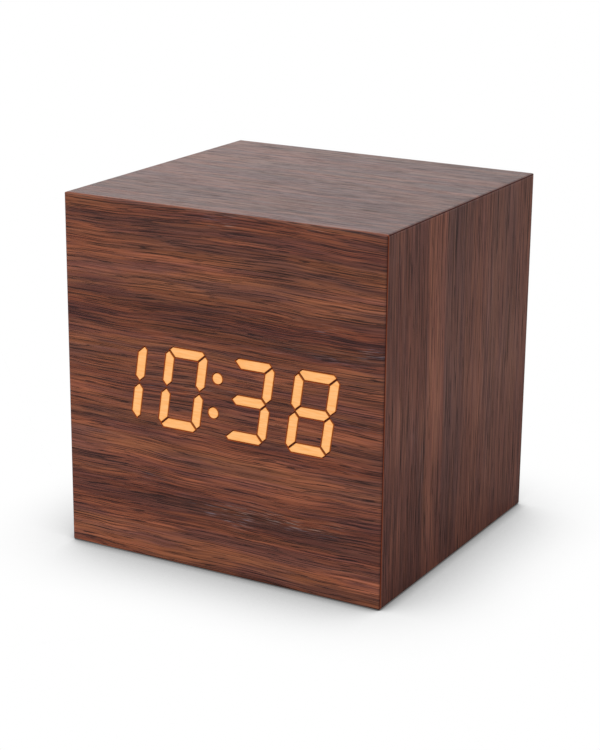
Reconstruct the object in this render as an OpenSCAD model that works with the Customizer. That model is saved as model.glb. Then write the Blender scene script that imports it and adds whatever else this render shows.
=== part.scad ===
// A small LED clock in a walnut veneered case. The time shows through the front veneer.
// All sizes are in millimetres. X runs to the right, Y to the back and Z up, seen from the front.
// The origin is under the middle of the case, on the surface that the clock stands on.

/* [Case] */
// Width of the case
case_w = 60; // [54:0.5:72]
// Depth of the case
case_d = 56; // [50:0.5:70]
// Height of the case
case_h = 61.5; // [55:0.5:74]
// Radius of the rounded outer edges
edge_r = 0.45; // [0.3:0.05:1]
// Thickness of the walnut veneer
veneer_t = 0.35; // [0.2:0.05:0.5]
// Thickness of the front panel
front_t = 3.5; // [3:0.1:4.5]
// Side of the square blocks in the rear corners
block_w = 6; // [5.4:0.1:6.2]
// Length of the corner blocks
block_len = 12; // [10:0.5:16]

/* [Display] */
// Hours and minutes shown
shown = [1, 0, 3, 8]; // [0:1:9]
// Distance of the display's middle to the right of the case's middle
display_x = -0.7; // [-1:0.1:0.5]
// Height of the display's middle above the middle of the case
display_rise = 0.25; // [-1:0.05:2]
// Height of a digit
digit_h = 13.9; // [12:0.1:15]
// Width of a digit
digit_w = 7.9; // [7.2:0.1:8.2]
// Width of a segment
bar_t = 1.53; // [1.3:0.01:1.8]
// Lean of the digits, in degrees
slant = 8; // [0:0.5:10]
// Distance between two digits of a pair
digit_pitch = 11.73; // [11.2:0.01:12]
// Distance between the digits on either side of the colon
colon_pitch = 12.55; // [12.2:0.01:13]
// Gap between neighbouring segments
segment_gap = 0.39; // [0.3:0.01:0.45]
// Gap between the tips of an upper and a lower segment
tip_gap = 0.72; // [0.7:0.01:0.8]
// Size of the cut at a segment's outer corners
tip_cut = 0.42; // [0.3:0.01:0.5]
// Diameter of a colon dot
dot_d = 1.8; // [1.4:0.05:2]
// Distance between the colon dots
dot_pitch = 5.98; // [5:0.01:7]
// Rim of the mask beyond the digits at the sides
mask_rim_x = 1.2; // [0.8:0.1:1.6]
// Rim of the mask above and below the digits
mask_rim_z = 1.6; // [1:0.1:3]
// Depth of the mask
mask_depth = 6; // [5.5:0.1:8]
// Height of the mask's flange above and below its body
flange_h = 4; // [3.8:0.1:5]
// Room round the mask in the front panel
mask_fit = 0.15; // [0.1:0.05:0.3]
// Room round the resin in a segment's well
resin_fit = 0.05; // [0.03:0.01:0.08]

/* [Rear cover] */
// Depth of the cover below the rear edge of the case
cover_recess = 1; // [0.8:0.1:2]
// Thickness of the cover
cover_t = 2; // [1.9:0.1:2.4]
// Room round the cover
cover_fit = 0.15; // [0.1:0.05:0.3]
// Wall of the battery tray
tray_wall = 1.2; // [1:0.05:1.3]
// Gap between the power inlet and the battery tray
tray_lift = 1.4; // [1.2:0.1:2]
// Gap between the battery tray and the side boards
tray_side_gap = 0.65; // [0.5:0.05:1.5]

/* [Batteries] */
// Diameter of a cell
cell_d = 10.5; // [9.5:0.1:11.5]
// Length of a cell with its button
cell_len = 44.5; // [40:0.5:48]
// Diameter of a cell's button
nub_d = 3.8; // [3:0.1:4.2]
// Height of a cell's button
nub_h = 0.9; // [0.8:0.1:1.2]
// Gap between two cells
cell_gap = 0.4; // [0.3:0.1:0.5]
// Room between the cells and the tray
cell_room = 0.3; // [0.2:0.05:0.4]
// Length of a pressed contact spring
spring_len = 3; // [2.6:0.1:3.1]
// Thickness of a contact plate
plate_t = 0.3; // [0.2:0.05:0.35]
// Height of the dimple on a contact plate
dimple_h = 0.5; // [0.4:0.05:0.6]

/* [Battery door] */
// Thickness of the door
door_t = 1.5; // [1.3:0.1:1.7]
// Gap round the door
door_gap = 0.2; // [0.15:0.05:0.3]
// Radius of the door's round lower edge
pivot_r = 1; // [0.9:0.05:1.1]
// Gap under the door's round lower edge
pivot_gap = 0.3; // [0.25:0.05:0.4]
// Diameter of the door's pins
pin_d = 1; // [0.8:0.05:1.1]
// Length of the door's pins beyond the tray's inside
pin_len = 1; // [0.8:0.1:1.2]
// Room round a pin in its hole
pin_fit = 0.05; // [0.02:0.01:0.08]
// Width of the latch tongue
tongue_w = 5.2; // [4.6:0.1:5.6]
// Length of the slots beside the latch tongue
tongue_len = 7; // [5:0.5:10]
// Width of the slots beside the latch tongue
tongue_slot = 0.7; // [0.6:0.05:0.9]

/* [Keys and switch] */
// Diameter of a key cap
cap_d = 4.4; // [4:0.1:4.6]
// Distance that a cap stands out of the cover
cap_out = 0.7; // [0.5:0.05:0.9]
// Travel of a key
key_travel = 0.4; // [0.25:0.05:0.5]
// Distance between two keys
key_pitch = 7.2; // [6.6:0.1:7.4]
// Gap between the key board and the top board
key_gap = 1.15; // [0.5:0.05:2]
// Side of a push switch
push_w = 6; // [5.8:0.1:6.2]
// Height of a push switch's body
push_h = 3.5; // [3.3:0.1:4]
// Diameter of a push switch's stem
stem_d = 3.4; // [3:0.1:3.6]
// Length of the stem that shows above the switch
stem_out = 0.8; // [0.7:0.05:1]
// Room round what slides in a hole
slide_fit = 0.15; // [0.1:0.01:0.2]
// Travel of the sound switch
switch_travel = 2; // [1.5:0.1:2.2]
// Length of the sound switch's body
switch_w = 8.4; // [8:0.1:8.6]
// Height of the sound switch's body
switch_h = 3.6; // [3.4:0.1:4]

/* [Power inlet] */
// Width of the inlet's shell
usb_w = 7.5; // [7.3:0.1:8]
// Height of the inlet's shell
usb_h = 2.8; // [2.7:0.1:3]
// Length of the inlet's shell
usb_len = 5.5; // [5:0.1:6]
// Height of the inlet's board above the bottom board
usb_lift = 2.2; // [2:0.1:2.4]

/* [Electronics] */
// Thickness of the main board and the key board
pcb_t = 1.6; // [1:0.1:1.8]
// Thickness of the inlet's board
thin_pcb_t = 1.2; // [1:0.1:1.4]
// Height of the main board
main_board_h = 34; // [33.5:0.5:38]
// Height of the key board
key_board_h = 9; // [8.8:0.1:9.2]
// Diameter of a lead over its insulation
lead_d = 1.2; // [1:0.05:1.3]
// Thickness of the ribbon cable
ribbon_t = 0.9; // [0.7:0.05:1]
// Number of wires in the ribbon cable
ribbon_ways = 6; // [4:1:6]

/* [Hidden] */
$fn = 48;
// Overshoot of a cut past the face that it opens
over = 1;

// The depths of the front and of the rear cover
front_y = -case_d/2;
rear_y = case_d/2;
skin_y = front_y + veneer_t;
panel_y = skin_y + front_t;
cover_y1 = rear_y - cover_recess;
cover_y0 = cover_y1 - cover_t;

// The display
display_z = case_h/2 + display_rise;
digit_x = [-colon_pitch/2 - digit_pitch, -colon_pitch/2, colon_pitch/2, colon_pitch/2 + digit_pitch];
lean = tan(slant);
mitre_off = segment_gap/sqrt(2);
tip_z = tip_gap/2;
bar_inset = segment_gap*sqrt(2) - tip_z;
// An upright's cut is a little larger than a level bar's, so that their edges don't lie in one line
cut_step = 0.06;
upright_cut = tip_cut + cut_step;
// The groove round a lit segment is wide enough to meet its neighbour's
groove_lap = 0.015;
groove = segment_gap/2 + groove_lap;
mask_x = colon_pitch/2 + digit_pitch + digit_w/2 + lean*digit_h/2 + mask_rim_x;
mask_z = digit_h/2 + mask_rim_z;
mask_y = skin_y + mask_depth;
flange_z = mask_z + flange_h;
chip_t = 0.7;
chip_gap = 0.2;
resin_y = mask_y - chip_t - chip_gap;
segment_names = "abcdefg";
segments_on = ["abcdef", "bc", "abdeg", "abcdg", "bcfg", "acdfg", "acdefg", "abc", "abcdefg", "abcdfg"];

// The inside of the case is as large as its contents need, and its boards are as thick as that leaves
cell_pitch = cell_d + cell_gap;
room_h = 2*cell_pitch + cell_d + 2*cell_room;
room_x = (cell_len + spring_len + 2*plate_t + dimple_h)/2;
tray_x = room_x + tray_wall;
key_strip = 5.25;
key_board_x = 19.4;
key_board_gap = 0.75;
inner_x = max(tray_x + tray_side_gap, key_board_x + key_board_gap + block_w);
inner_h = usb_lift + thin_pcb_t + usb_h + tray_lift + room_h + 2*tray_wall + key_strip
    + key_board_h/2 + key_gap;
inner_z0 = (case_h - inner_h)/2;
inner_z1 = inner_z0 + inner_h;
// The thickness of the side boards, and of the top and bottom boards
board_t = [case_w/2 - veneer_t - inner_x, inner_z0 - veneer_t];
block_x = inner_x - block_w/2;
block_z = [inner_z0 + block_w/2, inner_z1 - block_w/2];
cover_x = inner_x - cover_fit;

// The battery tray, from the inlet upwards
usb_board_z = inner_z0 + usb_lift;
usb_z = usb_board_z + thin_pcb_t;
tray_z0 = usb_z + usb_h + tray_lift;
room_z0 = tray_z0 + tray_wall;
room_z1 = room_z0 + room_h;
tray_z1 = room_z1 + tray_wall;
cell_z = [for (i = [0:2]) room_z0 + cell_room + cell_d/2 + i*cell_pitch];
door_y0 = cover_y1 - door_t;
cell_door_gap = 0.5;
cell_y = door_y0 - cell_door_gap - cell_d/2;
floor_gap = 0.2;
floor_y1 = cell_y - cell_d/2 - floor_gap;
floor_y0 = floor_y1 - tray_wall;
// Where the cells' middles lie off the tray's middle, towards their buttons
cell_shift = (spring_len - dimple_h)/2;
// Which way each cell's button points
cell_side = [1, -1, 1];
tab_w = 2.4;
tab_len = 1.4;
tab_y = floor_y0 - tab_len;
plate_h = 8.4;

// The battery door turns about this line
pivot_y = cover_y1 - pivot_r;
pivot_z = room_z0 + pivot_gap + pivot_r;
door_z1 = room_z1 - door_gap;
door_x = room_x - door_gap;
pin_end_gap = 0.1;
nose_w = tongue_w - 0.8;
nose_h = 1;
scoop_r = 4.2;
scoop_depth = 0.8;
grip_out = 0.35;

// The keys and their board
key_z = tray_z1 + key_strip;
key_mid_x = 4;
key_x = [key_mid_x - key_pitch, key_mid_x, key_mid_x + key_pitch];
flange_t = 0.8;
flange_gap = 0.1;
flange_d = cap_d + 1.2;
cap_chamfer = 0.3;
cap_y = cover_y0 - flange_gap - flange_t;
push_y = cap_y - stem_out;
stem_in = 2;
stem_end_gap = 0.2;
stem_fit = 0.1;
key_board_y = push_y - push_h;
post_x = key_board_x - 1.8;
post_z = key_z - 2.7;
post_d = 3.6;
post_hole = 5;
post_bite = 4;
switch_x = -11.3;
knob_w = 1.6;
knob_base_w = 2.6;
knob_base_h = 2;
knob_base_t = 1;
knob_out = 0.6;
switch_shell = 0.4;

// The inlet, the sound sensor and their supports
usb_board_x = 8.5;
usb_board_len = 13;
usb_recess = 0.1;
usb_wall = 0.3;
usb_back_t = 0.4;
usb_fit = 0.25;
ledge_w = 3;
usb_board_y1 = cover_y0 - 0.4;
usb_board_y0 = usb_board_y1 - usb_board_len;
usb_screw = [7, usb_board_y0 + 3];
ledge_bite = usb_lift - 0.4;
mic_x = 14.5;
mic_z = inner_z0 + 3.85;
mic_d = 4;
mic_len = 2.7;
mic_fit = 0.1;
mic_boss_d = mic_d + 1.8;
mic_hole_d = 1.2;

// Screws
small_screw_d = 2;
small_head_d = 3.6;
small_head_h = 1.3;
thread_fit = 0.05;
hole_fit = 0.15;
rear_head_d = 3.8;
rear_head_h = 1.1;
rear_screw_len = 9;

// The main board
board_y = mask_y + pcb_t;
main_board_x = mask_x;
board_screw = [main_board_x - 2.2, flange_z - 2];
// Wood left between the veneer and a main board screw
blind_wood = 1.6;
socket_w = 4.5;
socket_gap = 0.48;
socket_x = board_screw[0] - small_head_d/2 - socket_gap - socket_w/2;
socket_z = [12.6, 5, -2.6];
socket_h = 6;
socket_len = 4.5;
socket_wall = 0.6;
plug_fit = 0.1;
plug_out = 3;
plug_y = board_y + socket_len + plug_out;
lead_pitch = 2.4;
wire_pitch = 1.1;
ribbon_w = ribbon_ways*wire_pitch;
ribbon_x = -5;
ribbon_rise = 14;
ribbon_drop = 1;
ribbon_main_z = display_z + ribbon_rise;
ribbon_key_z = key_z - ribbon_drop;
// How far the ribbon runs level from each end before it bends
ribbon_key_run = 14;
ribbon_main_run = 12;
ribbon_socket_h = 3;
ribbon_socket_t = 2.6;
ribbon_socket_end = 0.9;
ribbon_fit = 0.1;
ribbon_dip = 1;
chip_x = -3;
chip_z = 3.5;
chip_len = 18;
chip_w = 7.5;
chip_h = 2.3;
pin_pitch = 1.27;
pin_w = 0.4;
pin_reach = 1.5;
pin_t = 0.3;
crystal_x = -16.5;
buzzer_d = 12;
buzzer_h = 5.5;
buzzer_x = -13;
buzzer_z = -8.5;
capacitor_r = 2.5;
capacitor_h = 7;
capacitor_x = 10;
capacitor_z = 10.5;
resistor_len = 1.6;
resistor_w = 0.8;
resistor_x = -18.5;
resistor_z = 11;
resistor_step = 2.6;
resistor_row = 2;
transistor_x = -5.5;
transistor_z = -3.4;
transistor_step = 4.2;
transistor_len = 2.9;
transistor_w = 1.3;
transistor_h = 1;
leg_w = 0.4;
leg_len = 0.7;
leg_t = 0.2;
leg_spread = 0.95;
coin_r = 6.25;
coin_t = 2;
clip_w = 4;
coin_x = 4;
coin_z = -10.7;

// Shapes that several pieces share

module box(x, y, z) {
    translate([x[0], y[0], z[0]]) cube([x[1] - x[0], y[1] - y[0], z[1] - z[0]]);
}

// Turns a shape so that its up direction points to the back of the clock
module facing_back(x, y, z) {
    translate([x, y, z]) rotate([-90, 0, 0]) children();
}

// Draws a flat shape, seen from the front, from one depth to another
module upright(y0, y1) {
    translate([0, y1, 0]) rotate([90, 0, 0]) linear_extrude(y1 - y0) children();
}

module rounded_rect(w, h, r) {
    square([w - 2*r, h], center = true);
    square([w, h - 2*r], center = true);
    for (x = [-1, 1], y = [-1, 1]) translate([x*(w/2 - r), y*(h/2 - r)]) circle(r);
}

// The outside of the whole clock, with every edge rounded
module envelope() {
    intersection() {
        linear_extrude(case_h) rounded_rect(case_w, case_d, edge_r);
        translate([0, 0, case_h/2]) upright(front_y, rear_y) rounded_rect(case_w, case_h, edge_r);
        translate([-case_w/2, 0, case_h/2]) rotate([90, 0, 90])
            linear_extrude(case_w) rounded_rect(case_d, case_h, edge_r);
    }
}

// One mitred side of the case. The sides are 0 top, 1 right, 2 bottom and 3 left.
// Its thickness t is given across the case and upwards.
module mitred_side(side, inset, t, y0) {
    w = case_w/2 - inset;
    z1 = case_h - inset;
    z0 = inset;
    outer = [[-w, z1], [w, z1], [w, z0], [-w, z0]];
    inner = [[t[0] - w, z1 - t[1]], [w - t[0], z1 - t[1]], [w - t[0], z0 + t[1]], [t[0] - w, z0 + t[1]]];
    next = (side + 1)%4;
    intersection() {
        upright(y0, rear_y) polygon([outer[side], outer[next], inner[next], inner[side]]);
        envelope();
    }
}

// A countersunk or pan head screw that points to the front, its head's top at the origin
module screw(len, head_d, head_h, sunk) {
    difference() {
        union() {
            translate([0, 0, -len]) cylinder(d = small_screw_d, h = len - head_h/2);
            translate([0, 0, -head_h]) cylinder(d1 = sunk ? small_screw_d : head_d, d2 = head_d, h = head_h);
        }
        for (a = [0, 90]) rotate(a) translate([-0.55*head_d/2, -0.25, -0.7*head_h])
            cube([0.55*head_d, 0.5, head_h]);
    }
}

function unit(v) = v/norm(v);
function bezier(p, t) = pow(1 - t, 3)*p[0] + 3*t*pow(1 - t, 2)*p[1] + 3*t*t*(1 - t)*p[2] + pow(t, 3)*p[3];
function bezier_way(p, t) =
    unit(pow(1 - t, 2)*(p[1] - p[0]) + 2*t*(1 - t)*(p[2] - p[1]) + t*t*(p[3] - p[2]));

// A lead from one place to another. It leaves and arrives straight towards the front.
module lead(from, to, slack) {
    rings = 16;
    sides = 8;
    p = [from, from - [0, slack, 0], to + [0, slack, 0], to];
    points = [for (i = [0:rings - 1]) let (
        t = i/(rings - 1), way = bezier_way(p, t), u = unit(cross(way, [0, 0, 1])), v = cross(u, way))
        for (k = [0:sides - 1])
            bezier(p, t) + lead_d/2*(cos(360*k/sides)*u + sin(360*k/sides)*v)];
    walls = [for (i = [0:rings - 2], k = [0:sides - 1]) let (
        a = i*sides + k, b = i*sides + (k + 1)%sides, c = b + sides, d = a + sides)
        each [[a, b, c], [a, c, d]]];
    start = [for (k = [1:sides - 2]) [0, k + 1, k]];
    last = (rings - 1)*sides;
    end = [for (k = [1:sides - 2]) [last, last + k, last + k + 1]];
    polyhedron(points, concat(walls, start, end));
}

// Flat shapes of the display, seen from the front, with the origin in a digit's middle

function turned(p) = let (n = len(p)) [for (i = [0:n - 1]) p[n - 1 - i]];
function upright_bar() = let (w = digit_w/2, h = digit_h/2, c = upright_cut) [
    [-w + c, h - c - mitre_off], [-w, h - 2*c - mitre_off], [-w, tip_z + bar_t/2],
    [-w + bar_t/2, tip_z], [-w + bar_t, tip_z + bar_t/2], [-w + bar_t, h - bar_t - mitre_off]];
function top_bar() = let (w = digit_w/2, h = digit_h/2, o = mitre_off) [
    [w - o - 2*tip_cut, h], [-w + o + 2*tip_cut, h], [-w + o + tip_cut, h - tip_cut],
    [-w + bar_t + o, h - bar_t], [w - bar_t - o, h - bar_t], [w - o - tip_cut, h - tip_cut]];
function middle_bar() = let (w = digit_w/2, a = bar_inset + bar_t/2, b = bar_inset + bar_t) [
    [-w + a, 0], [-w + b, -bar_t/2], [w - b, -bar_t/2], [w - a, 0], [w - b, bar_t/2], [-w + b, bar_t/2]];
function flip_x(p) = turned([for (q = p) [-q[0], q[1]]]);
function flip_z(p) = turned([for (q = p) [q[0], -q[1]]]);
function segment(name) =
    name == "a" ? top_bar() :
    name == "b" ? flip_x(upright_bar()) :
    name == "c" ? flip_x(flip_z(upright_bar())) :
    name == "d" ? flip_z(top_bar()) :
    name == "e" ? flip_z(upright_bar()) :
    name == "f" ? upright_bar() : middle_bar();

// An outline moved outwards by e, for points that run anticlockwise
function grown(p, e) = let (n = len(p)) [for (i = [0:n - 1]) let (
    u = unit(p[i] - p[(i + n - 1)%n]), v = unit(p[(i + 1)%n] - p[i]),
    a = [u[1], -u[0]], b = [v[1], -v[0]])
    p[i] + e*(a + b)/(1 + a*b)];
function leaning(p) = [for (q = p) [q[0] + lean*q[1], q[1]]];
function is_on(digit, name) = len(search(name, segments_on[digit])) > 0;
function middle(p) = [for (k = [0, 1]) (min([for (q = p) q[k]]) + max([for (q = p) q[k]]))/2];

module segment_shapes(on, off, e) {
    translate([display_x, display_z]) {
        for (i = [0:3], name = segment_names)
            if (is_on(shown[i], name) ? on : off)
                translate([digit_x[i], 0]) polygon(grown(leaning(segment(name)), e));
        if (on) for (s = [-1, 1])
            translate([s*lean*dot_pitch/2, s*dot_pitch/2]) circle(d = dot_d + 2*e);
    }
}

// The case

module front_veneer() {
    color("#7a4a38") difference() {
        intersection() {
            envelope();
            box([-case_w, case_w], [front_y - over, skin_y], [-over, case_h + over]);
        }
        upright(front_y - over, skin_y + over) segment_shapes(true, false, groove);
    }
}

module top_veneer() {
    color("#8a6a60") mitred_side(0, 0, [veneer_t, veneer_t], skin_y);
}

module right_veneer() {
    color("#5c3f37") mitred_side(1, 0, [veneer_t, veneer_t], skin_y);
}

module bottom_veneer() {
    color("#5c3f37") mitred_side(2, 0, [veneer_t, veneer_t], skin_y);
}

module left_veneer() {
    color("#5c3f37") mitred_side(3, 0, [veneer_t, veneer_t], skin_y);
}

module front_panel() {
    x = case_w/2 - veneer_t;
    color("#b08a5e") difference() {
        box([-x, x], [skin_y, panel_y], [veneer_t, case_h - veneer_t]);
        box([display_x - mask_x - mask_fit, display_x + mask_x + mask_fit], [skin_y - over, panel_y + over],
            [display_z - mask_z - mask_fit, display_z + mask_z + mask_fit]);
        main_screw_holes(small_screw_d + 2*thread_fit);
    }
}

module top_board() {
    color("#b08a5e") mitred_side(0, veneer_t, board_t, panel_y);
}

module right_board() {
    color("#b08a5e") mitred_side(1, veneer_t, board_t, panel_y);
}

module bottom_board() {
    color("#b08a5e") mitred_side(2, veneer_t, board_t, panel_y);
}

module left_board() {
    color("#b08a5e") mitred_side(3, veneer_t, board_t, panel_y);
}

module corner_blocks() {
    color("#c8a878") for (x = [-1, 1], z = block_z) difference() {
        box([x*block_x - block_w/2, x*block_x + block_w/2], [cover_y0 - block_len, cover_y0],
            [z - block_w/2, z + block_w/2]);
        facing_back(x*block_x, cover_y0 - rear_screw_len, z)
            cylinder(d = small_screw_d + 2*thread_fit, h = rear_screw_len + over);
    }
}

// The display

module lit_segments() {
    color("#fdbb69") upright(front_y, resin_y) segment_shapes(true, false, 0);
}

module dark_segments() {
    color("#c9c2b4") upright(skin_y, resin_y) segment_shapes(false, true, 0);
}

module main_screw_holes(d) {
    for (x = [-1, 1], z = [-1, 1])
        facing_back(display_x + x*board_screw[0], skin_y + blind_wood, display_z + z*board_screw[1])
            cylinder(d = d, h = board_y - skin_y);
}

module display_mask() {
    color("#1b1a1c") difference() {
        union() {
            box([display_x - mask_x, display_x + mask_x], [skin_y, mask_y],
                [display_z - mask_z, display_z + mask_z]);
            box([display_x - mask_x, display_x + mask_x], [panel_y, mask_y],
                [display_z - flange_z, display_z + flange_z]);
        }
        upright(skin_y - over, mask_y + over) segment_shapes(true, true, resin_fit);
        main_screw_holes(small_screw_d + 2*hole_fit);
    }
}

module led_chips() {
    chip = [1.6, 0.8];
    color("#f2e2a0") translate([display_x, 0, display_z]) {
        for (i = [0:3], name = segment_names) {
            at = middle(leaning(segment(name)));
            flat = name == "a" || name == "d" || name == "g";
            w = flat ? chip[0] : chip[1];
            h = flat ? chip[1] : chip[0];
            x = digit_x[i] + at[0];
            box([x - w/2, x + w/2], [mask_y - chip_t, mask_y], [at[1] - h/2, at[1] + h/2]);
        }
        for (s = [-1, 1]) translate([s*lean*dot_pitch/2, 0, s*dot_pitch/2])
            box([-chip[1]/2, chip[1]/2], [mask_y - chip_t, mask_y], [-chip[1]/2, chip[1]/2]);
    }
}

// The rear cover and the battery tray

module rear_cover() {
    color("#222224") difference() {
        union() {
            difference() {
                union() {
                    box([-cover_x, cover_x], [cover_y0, cover_y1],
                        [inner_z0 + cover_fit, inner_z1 - cover_fit]);
                    box([-tray_x, tray_x], [floor_y0, cover_y0], [tray_z0, tray_z1]);
                    for (x = [-1, 1]) key_post(x);
                    for (x = [-1, 1]) inlet_ledge(x);
                    facing_back(mic_x, cover_y0 - mic_len, mic_z) cylinder(d = mic_boss_d, h = mic_len);
                }
                box([-room_x, room_x], [floor_y1, cover_y1 + over], [room_z0, room_z1]);
            }
            tray_ridges();
            for (x = [-1, 1]) door_stop(x);
        }
        rear_cover_holes();
    }
}

module key_post(side) {
    facing_back(side*post_x, key_board_y, post_z) cylinder(d = post_d, h = cover_y0 - key_board_y);
}

module inlet_ledge(side) {
    x = side*(usb_board_x - ledge_w/2);
    box([x - ledge_w/2, x + ledge_w/2], [usb_board_y0, cover_y0], [inner_z0 + cover_fit, usb_board_z]);
}

// Two low ridges keep the cells apart
module tray_ridges() {
    base = 3;
    tip = 1;
    h = 2.5;
    x = room_x - plate_t - 0.7;
    rooted = 0.1;
    for (i = [0, 1]) translate([-x, floor_y1, (cell_z[i] + cell_z[i + 1])/2]) rotate([90, 0, 90])
        linear_extrude(2*x) polygon([[-rooted, -base/2], [h, -tip/2], [h, tip/2], [-rooted, base/2]]);
}

module door_stop(side) {
    stop_w = 4;
    stop_t = 1;
    y1 = door_y0 - floor_gap;
    x = side*(room_x - 5);
    box([x - stop_w/2, x + stop_w/2], [y1 - stop_t, y1], [room_z1 - stop_t, room_z1 + tray_wall/2]);
}

module rear_cover_holes() {
    for (x = [-1, 1], z = block_z) facing_back(x*block_x, cover_y1, z) {
        translate([0, 0, -cover_t - over]) cylinder(d = small_screw_d + 2*hole_fit, h = cover_t + 2*over);
        translate([0, 0, -rear_head_h]) cylinder(d1 = small_screw_d + 2*hole_fit,
            d2 = rear_head_d + 2*hole_fit, h = rear_head_h);
    }
    for (x = key_x) facing_back(x, cover_y0 - over, key_z)
        cylinder(d = cap_d + 2*slide_fit, h = cover_t + 2*over);
    knob_x = switch_travel/2 + knob_w/2 + slide_fit;
    box([switch_x - knob_x, switch_x + knob_x], [cover_y0 - over, cover_y1 + over],
        [key_z - knob_w/2 - slide_fit, key_z + knob_w/2 + slide_fit]);
    for (x = [-1, 1]) facing_back(x*post_x, key_board_y - over, post_z)
        cylinder(d = small_screw_d + 2*thread_fit, h = post_hole + over);
    upright(cover_y0 - over, cover_y1 + over) translate([0, usb_z]) usb_outline(usb_fit);
    for (x = [-1, 1]) translate([x*usb_screw[0], usb_screw[1], inner_z0])
        cylinder(d = small_screw_d + 2*thread_fit, h = usb_lift + over);
    facing_back(mic_x, cover_y0 - mic_len - over, mic_z) cylinder(d = mic_d + 2*mic_fit, h = mic_len + over);
    facing_back(mic_x, cover_y0 - over, mic_z) cylinder(d = mic_hole_d, h = cover_t + 2*over);
    for (x = [-1, 1]) translate([x*room_x, pivot_y, pivot_z]) rotate([0, x*90, 0])
        cylinder(d = pin_d + 2*pin_fit, h = pin_len + pin_end_gap);
    notch_x = nose_w/2 + door_gap;
    box([-notch_x, notch_x], [cover_y0, cover_y1 + over], [room_z1 - over, room_z1 + nose_h]);
    facing_back(0, cover_y1 - scoop_depth, room_z1) cylinder(r = scoop_r, h = scoop_depth + over);
    tab_slot(1, cell_z[0]);
    tab_slot(-1, cell_z[2]);
}

module tab_slot(side, z) {
    x = side*(room_x - plate_t/2);
    w = plate_t/2 + 0.1;
    box([x - w, x + w], [floor_y0 - over, floor_y1 + over/2], [z - tab_w/2 - 0.1, z + tab_w/2 + 0.1]);
}

module rear_screws() {
    color("#5a5a5e") for (x = [-1, 1], z = block_z)
        facing_back(x*block_x, cover_y1 - 0.1, z) screw(rear_screw_len, rear_head_d, rear_head_h, true);
}

module battery_door() {
    color("#27272a") {
        difference() {
            translate([-door_x, 0, 0]) rotate([90, 0, 90]) linear_extrude(2*door_x) {
                translate([pivot_y, pivot_z]) circle(pivot_r);
                translate([door_y0, pivot_z]) square([door_t, door_z1 - pivot_z]);
            }
            for (x = [-1, 1]) translate([x*(tongue_w + tongue_slot)/2 - tongue_slot/2, door_y0 - over,
                door_z1 - tongue_len]) cube([tongue_slot, door_t + 2*over, tongue_len + over]);
        }
        for (x = [-1, 1]) translate([x*(door_x - 0.5), pivot_y, pivot_z]) rotate([0, x*90, 0])
            cylinder(d = pin_d, h = door_gap + pin_len + 0.5);
        // The nose at the tongue's end catches under the rim of the tray
        box([-nose_w/2, nose_w/2], [door_y0 + 0.2, cover_y1 - 0.4],
            [door_z1 - 0.5, room_z1 + nose_h - door_gap]);
        grip_x = nose_w/2 - 0.4;
        for (i = [0:2]) translate([0, 0, door_z1 - 1.5 - 1.2*i])
            box([-grip_x, grip_x], [cover_y1 - 0.2, cover_y1 + grip_out], [0, 0.6]);
    }
}

// The cells and their contacts

module battery_cells() {
    r = cell_d/2;
    body_len = cell_len - nub_h;
    color("#3c6f8f") for (i = [0:2])
        translate([cell_side[i]*cell_shift, cell_y, cell_z[i]]) rotate([0, cell_side[i]*90, 0])
            translate([0, 0, -cell_len/2]) rotate_extrude() polygon([
                [0, 0], [r - 1.2, 0], [r - 1, 0.3], [r - 0.4, 0.3], [r, 0.7], [r, body_len - 0.6],
                [r - 0.6, body_len], [nub_d/2, body_len], [nub_d/2, cell_len - 0.2],
                [nub_d/2 - 0.2, cell_len], [0, cell_len]]);
}

// A flat plate on the tray's end wall, with a dimple where it meets a cell's button
module contact_plate(side, z0, z1) {
    x = side*(room_x - plate_t/2);
    box([x - plate_t/2, x + plate_t/2], [floor_y1, door_y0 - 1], [z0 - plate_h/2, z1 + plate_h/2]);
}

module dimple(i) {
    side = cell_side[i];
    translate([side*(room_x - plate_t/2), cell_y, cell_z[i]]) rotate([0, -side*90, 0])
        cylinder(d1 = 3.2, d2 = 2, h = plate_t/2 + dimple_h);
}

module solder_tab(side, z) {
    x = side*(room_x - plate_t/2);
    box([x - plate_t/2, x + plate_t/2], [tab_y, floor_y1 + 0.5], [z - tab_w/2, z + tab_w/2]);
}

module contact_plates() {
    color("#c4c6c8") {
        union() {
            contact_plate(1, cell_z[0], cell_z[0]);
            solder_tab(1, cell_z[0]);
            dimple(0);
        }
        union() {
            contact_plate(1, cell_z[1], cell_z[2]);
            dimple(2);
        }
        union() {
            contact_plate(-1, cell_z[0], cell_z[1]);
            dimple(1);
        }
        union() {
            contact_plate(-1, cell_z[2], cell_z[2]);
            solder_tab(-1, cell_z[2]);
        }
    }
}

// Each spring is a plain hollow cone of its coil's outside
module contact_springs() {
    wire = 0.5;
    base_r = 3.4;
    tip_r = 1.6;
    color("#c4c6c8") for (i = [0:2]) {
        side = -cell_side[i];
        translate([side*(room_x - plate_t), cell_y, cell_z[i]]) rotate([0, -side*90, 0]) rotate_extrude()
            polygon([[base_r - wire, 0], [base_r, 0], [tip_r, spring_len], [tip_r - wire, spring_len]]);
    }
}

module red_battery_lead() {
    color("#b0201c") lead([room_x - plate_t/2, tab_y, cell_z[0]], lead_start(0, 1), 12);
}

module black_battery_lead() {
    color("#1a1a1c") lead([-room_x + plate_t/2, tab_y, cell_z[2]], lead_start(0, -1), 12);
}

// The keys, the sound switch and their board

module key_cap(i) {
    color("#3a3a3e") facing_back(key_x[i], cap_y, key_z) {
        cylinder(d = flange_d, h = flange_t);
        side = cover_y1 + cap_out - cap_y - cap_chamfer;
        translate([0, 0, flange_t/2]) cylinder(d = cap_d, h = side - flange_t/2);
        translate([0, 0, side]) cylinder(d1 = cap_d, d2 = cap_d - 2*cap_chamfer, h = cap_chamfer);
    }
}

module set_button() {
    key_cap(0);
}

module up_button() {
    key_cap(1);
}

module down_button() {
    key_cap(2);
}

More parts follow.
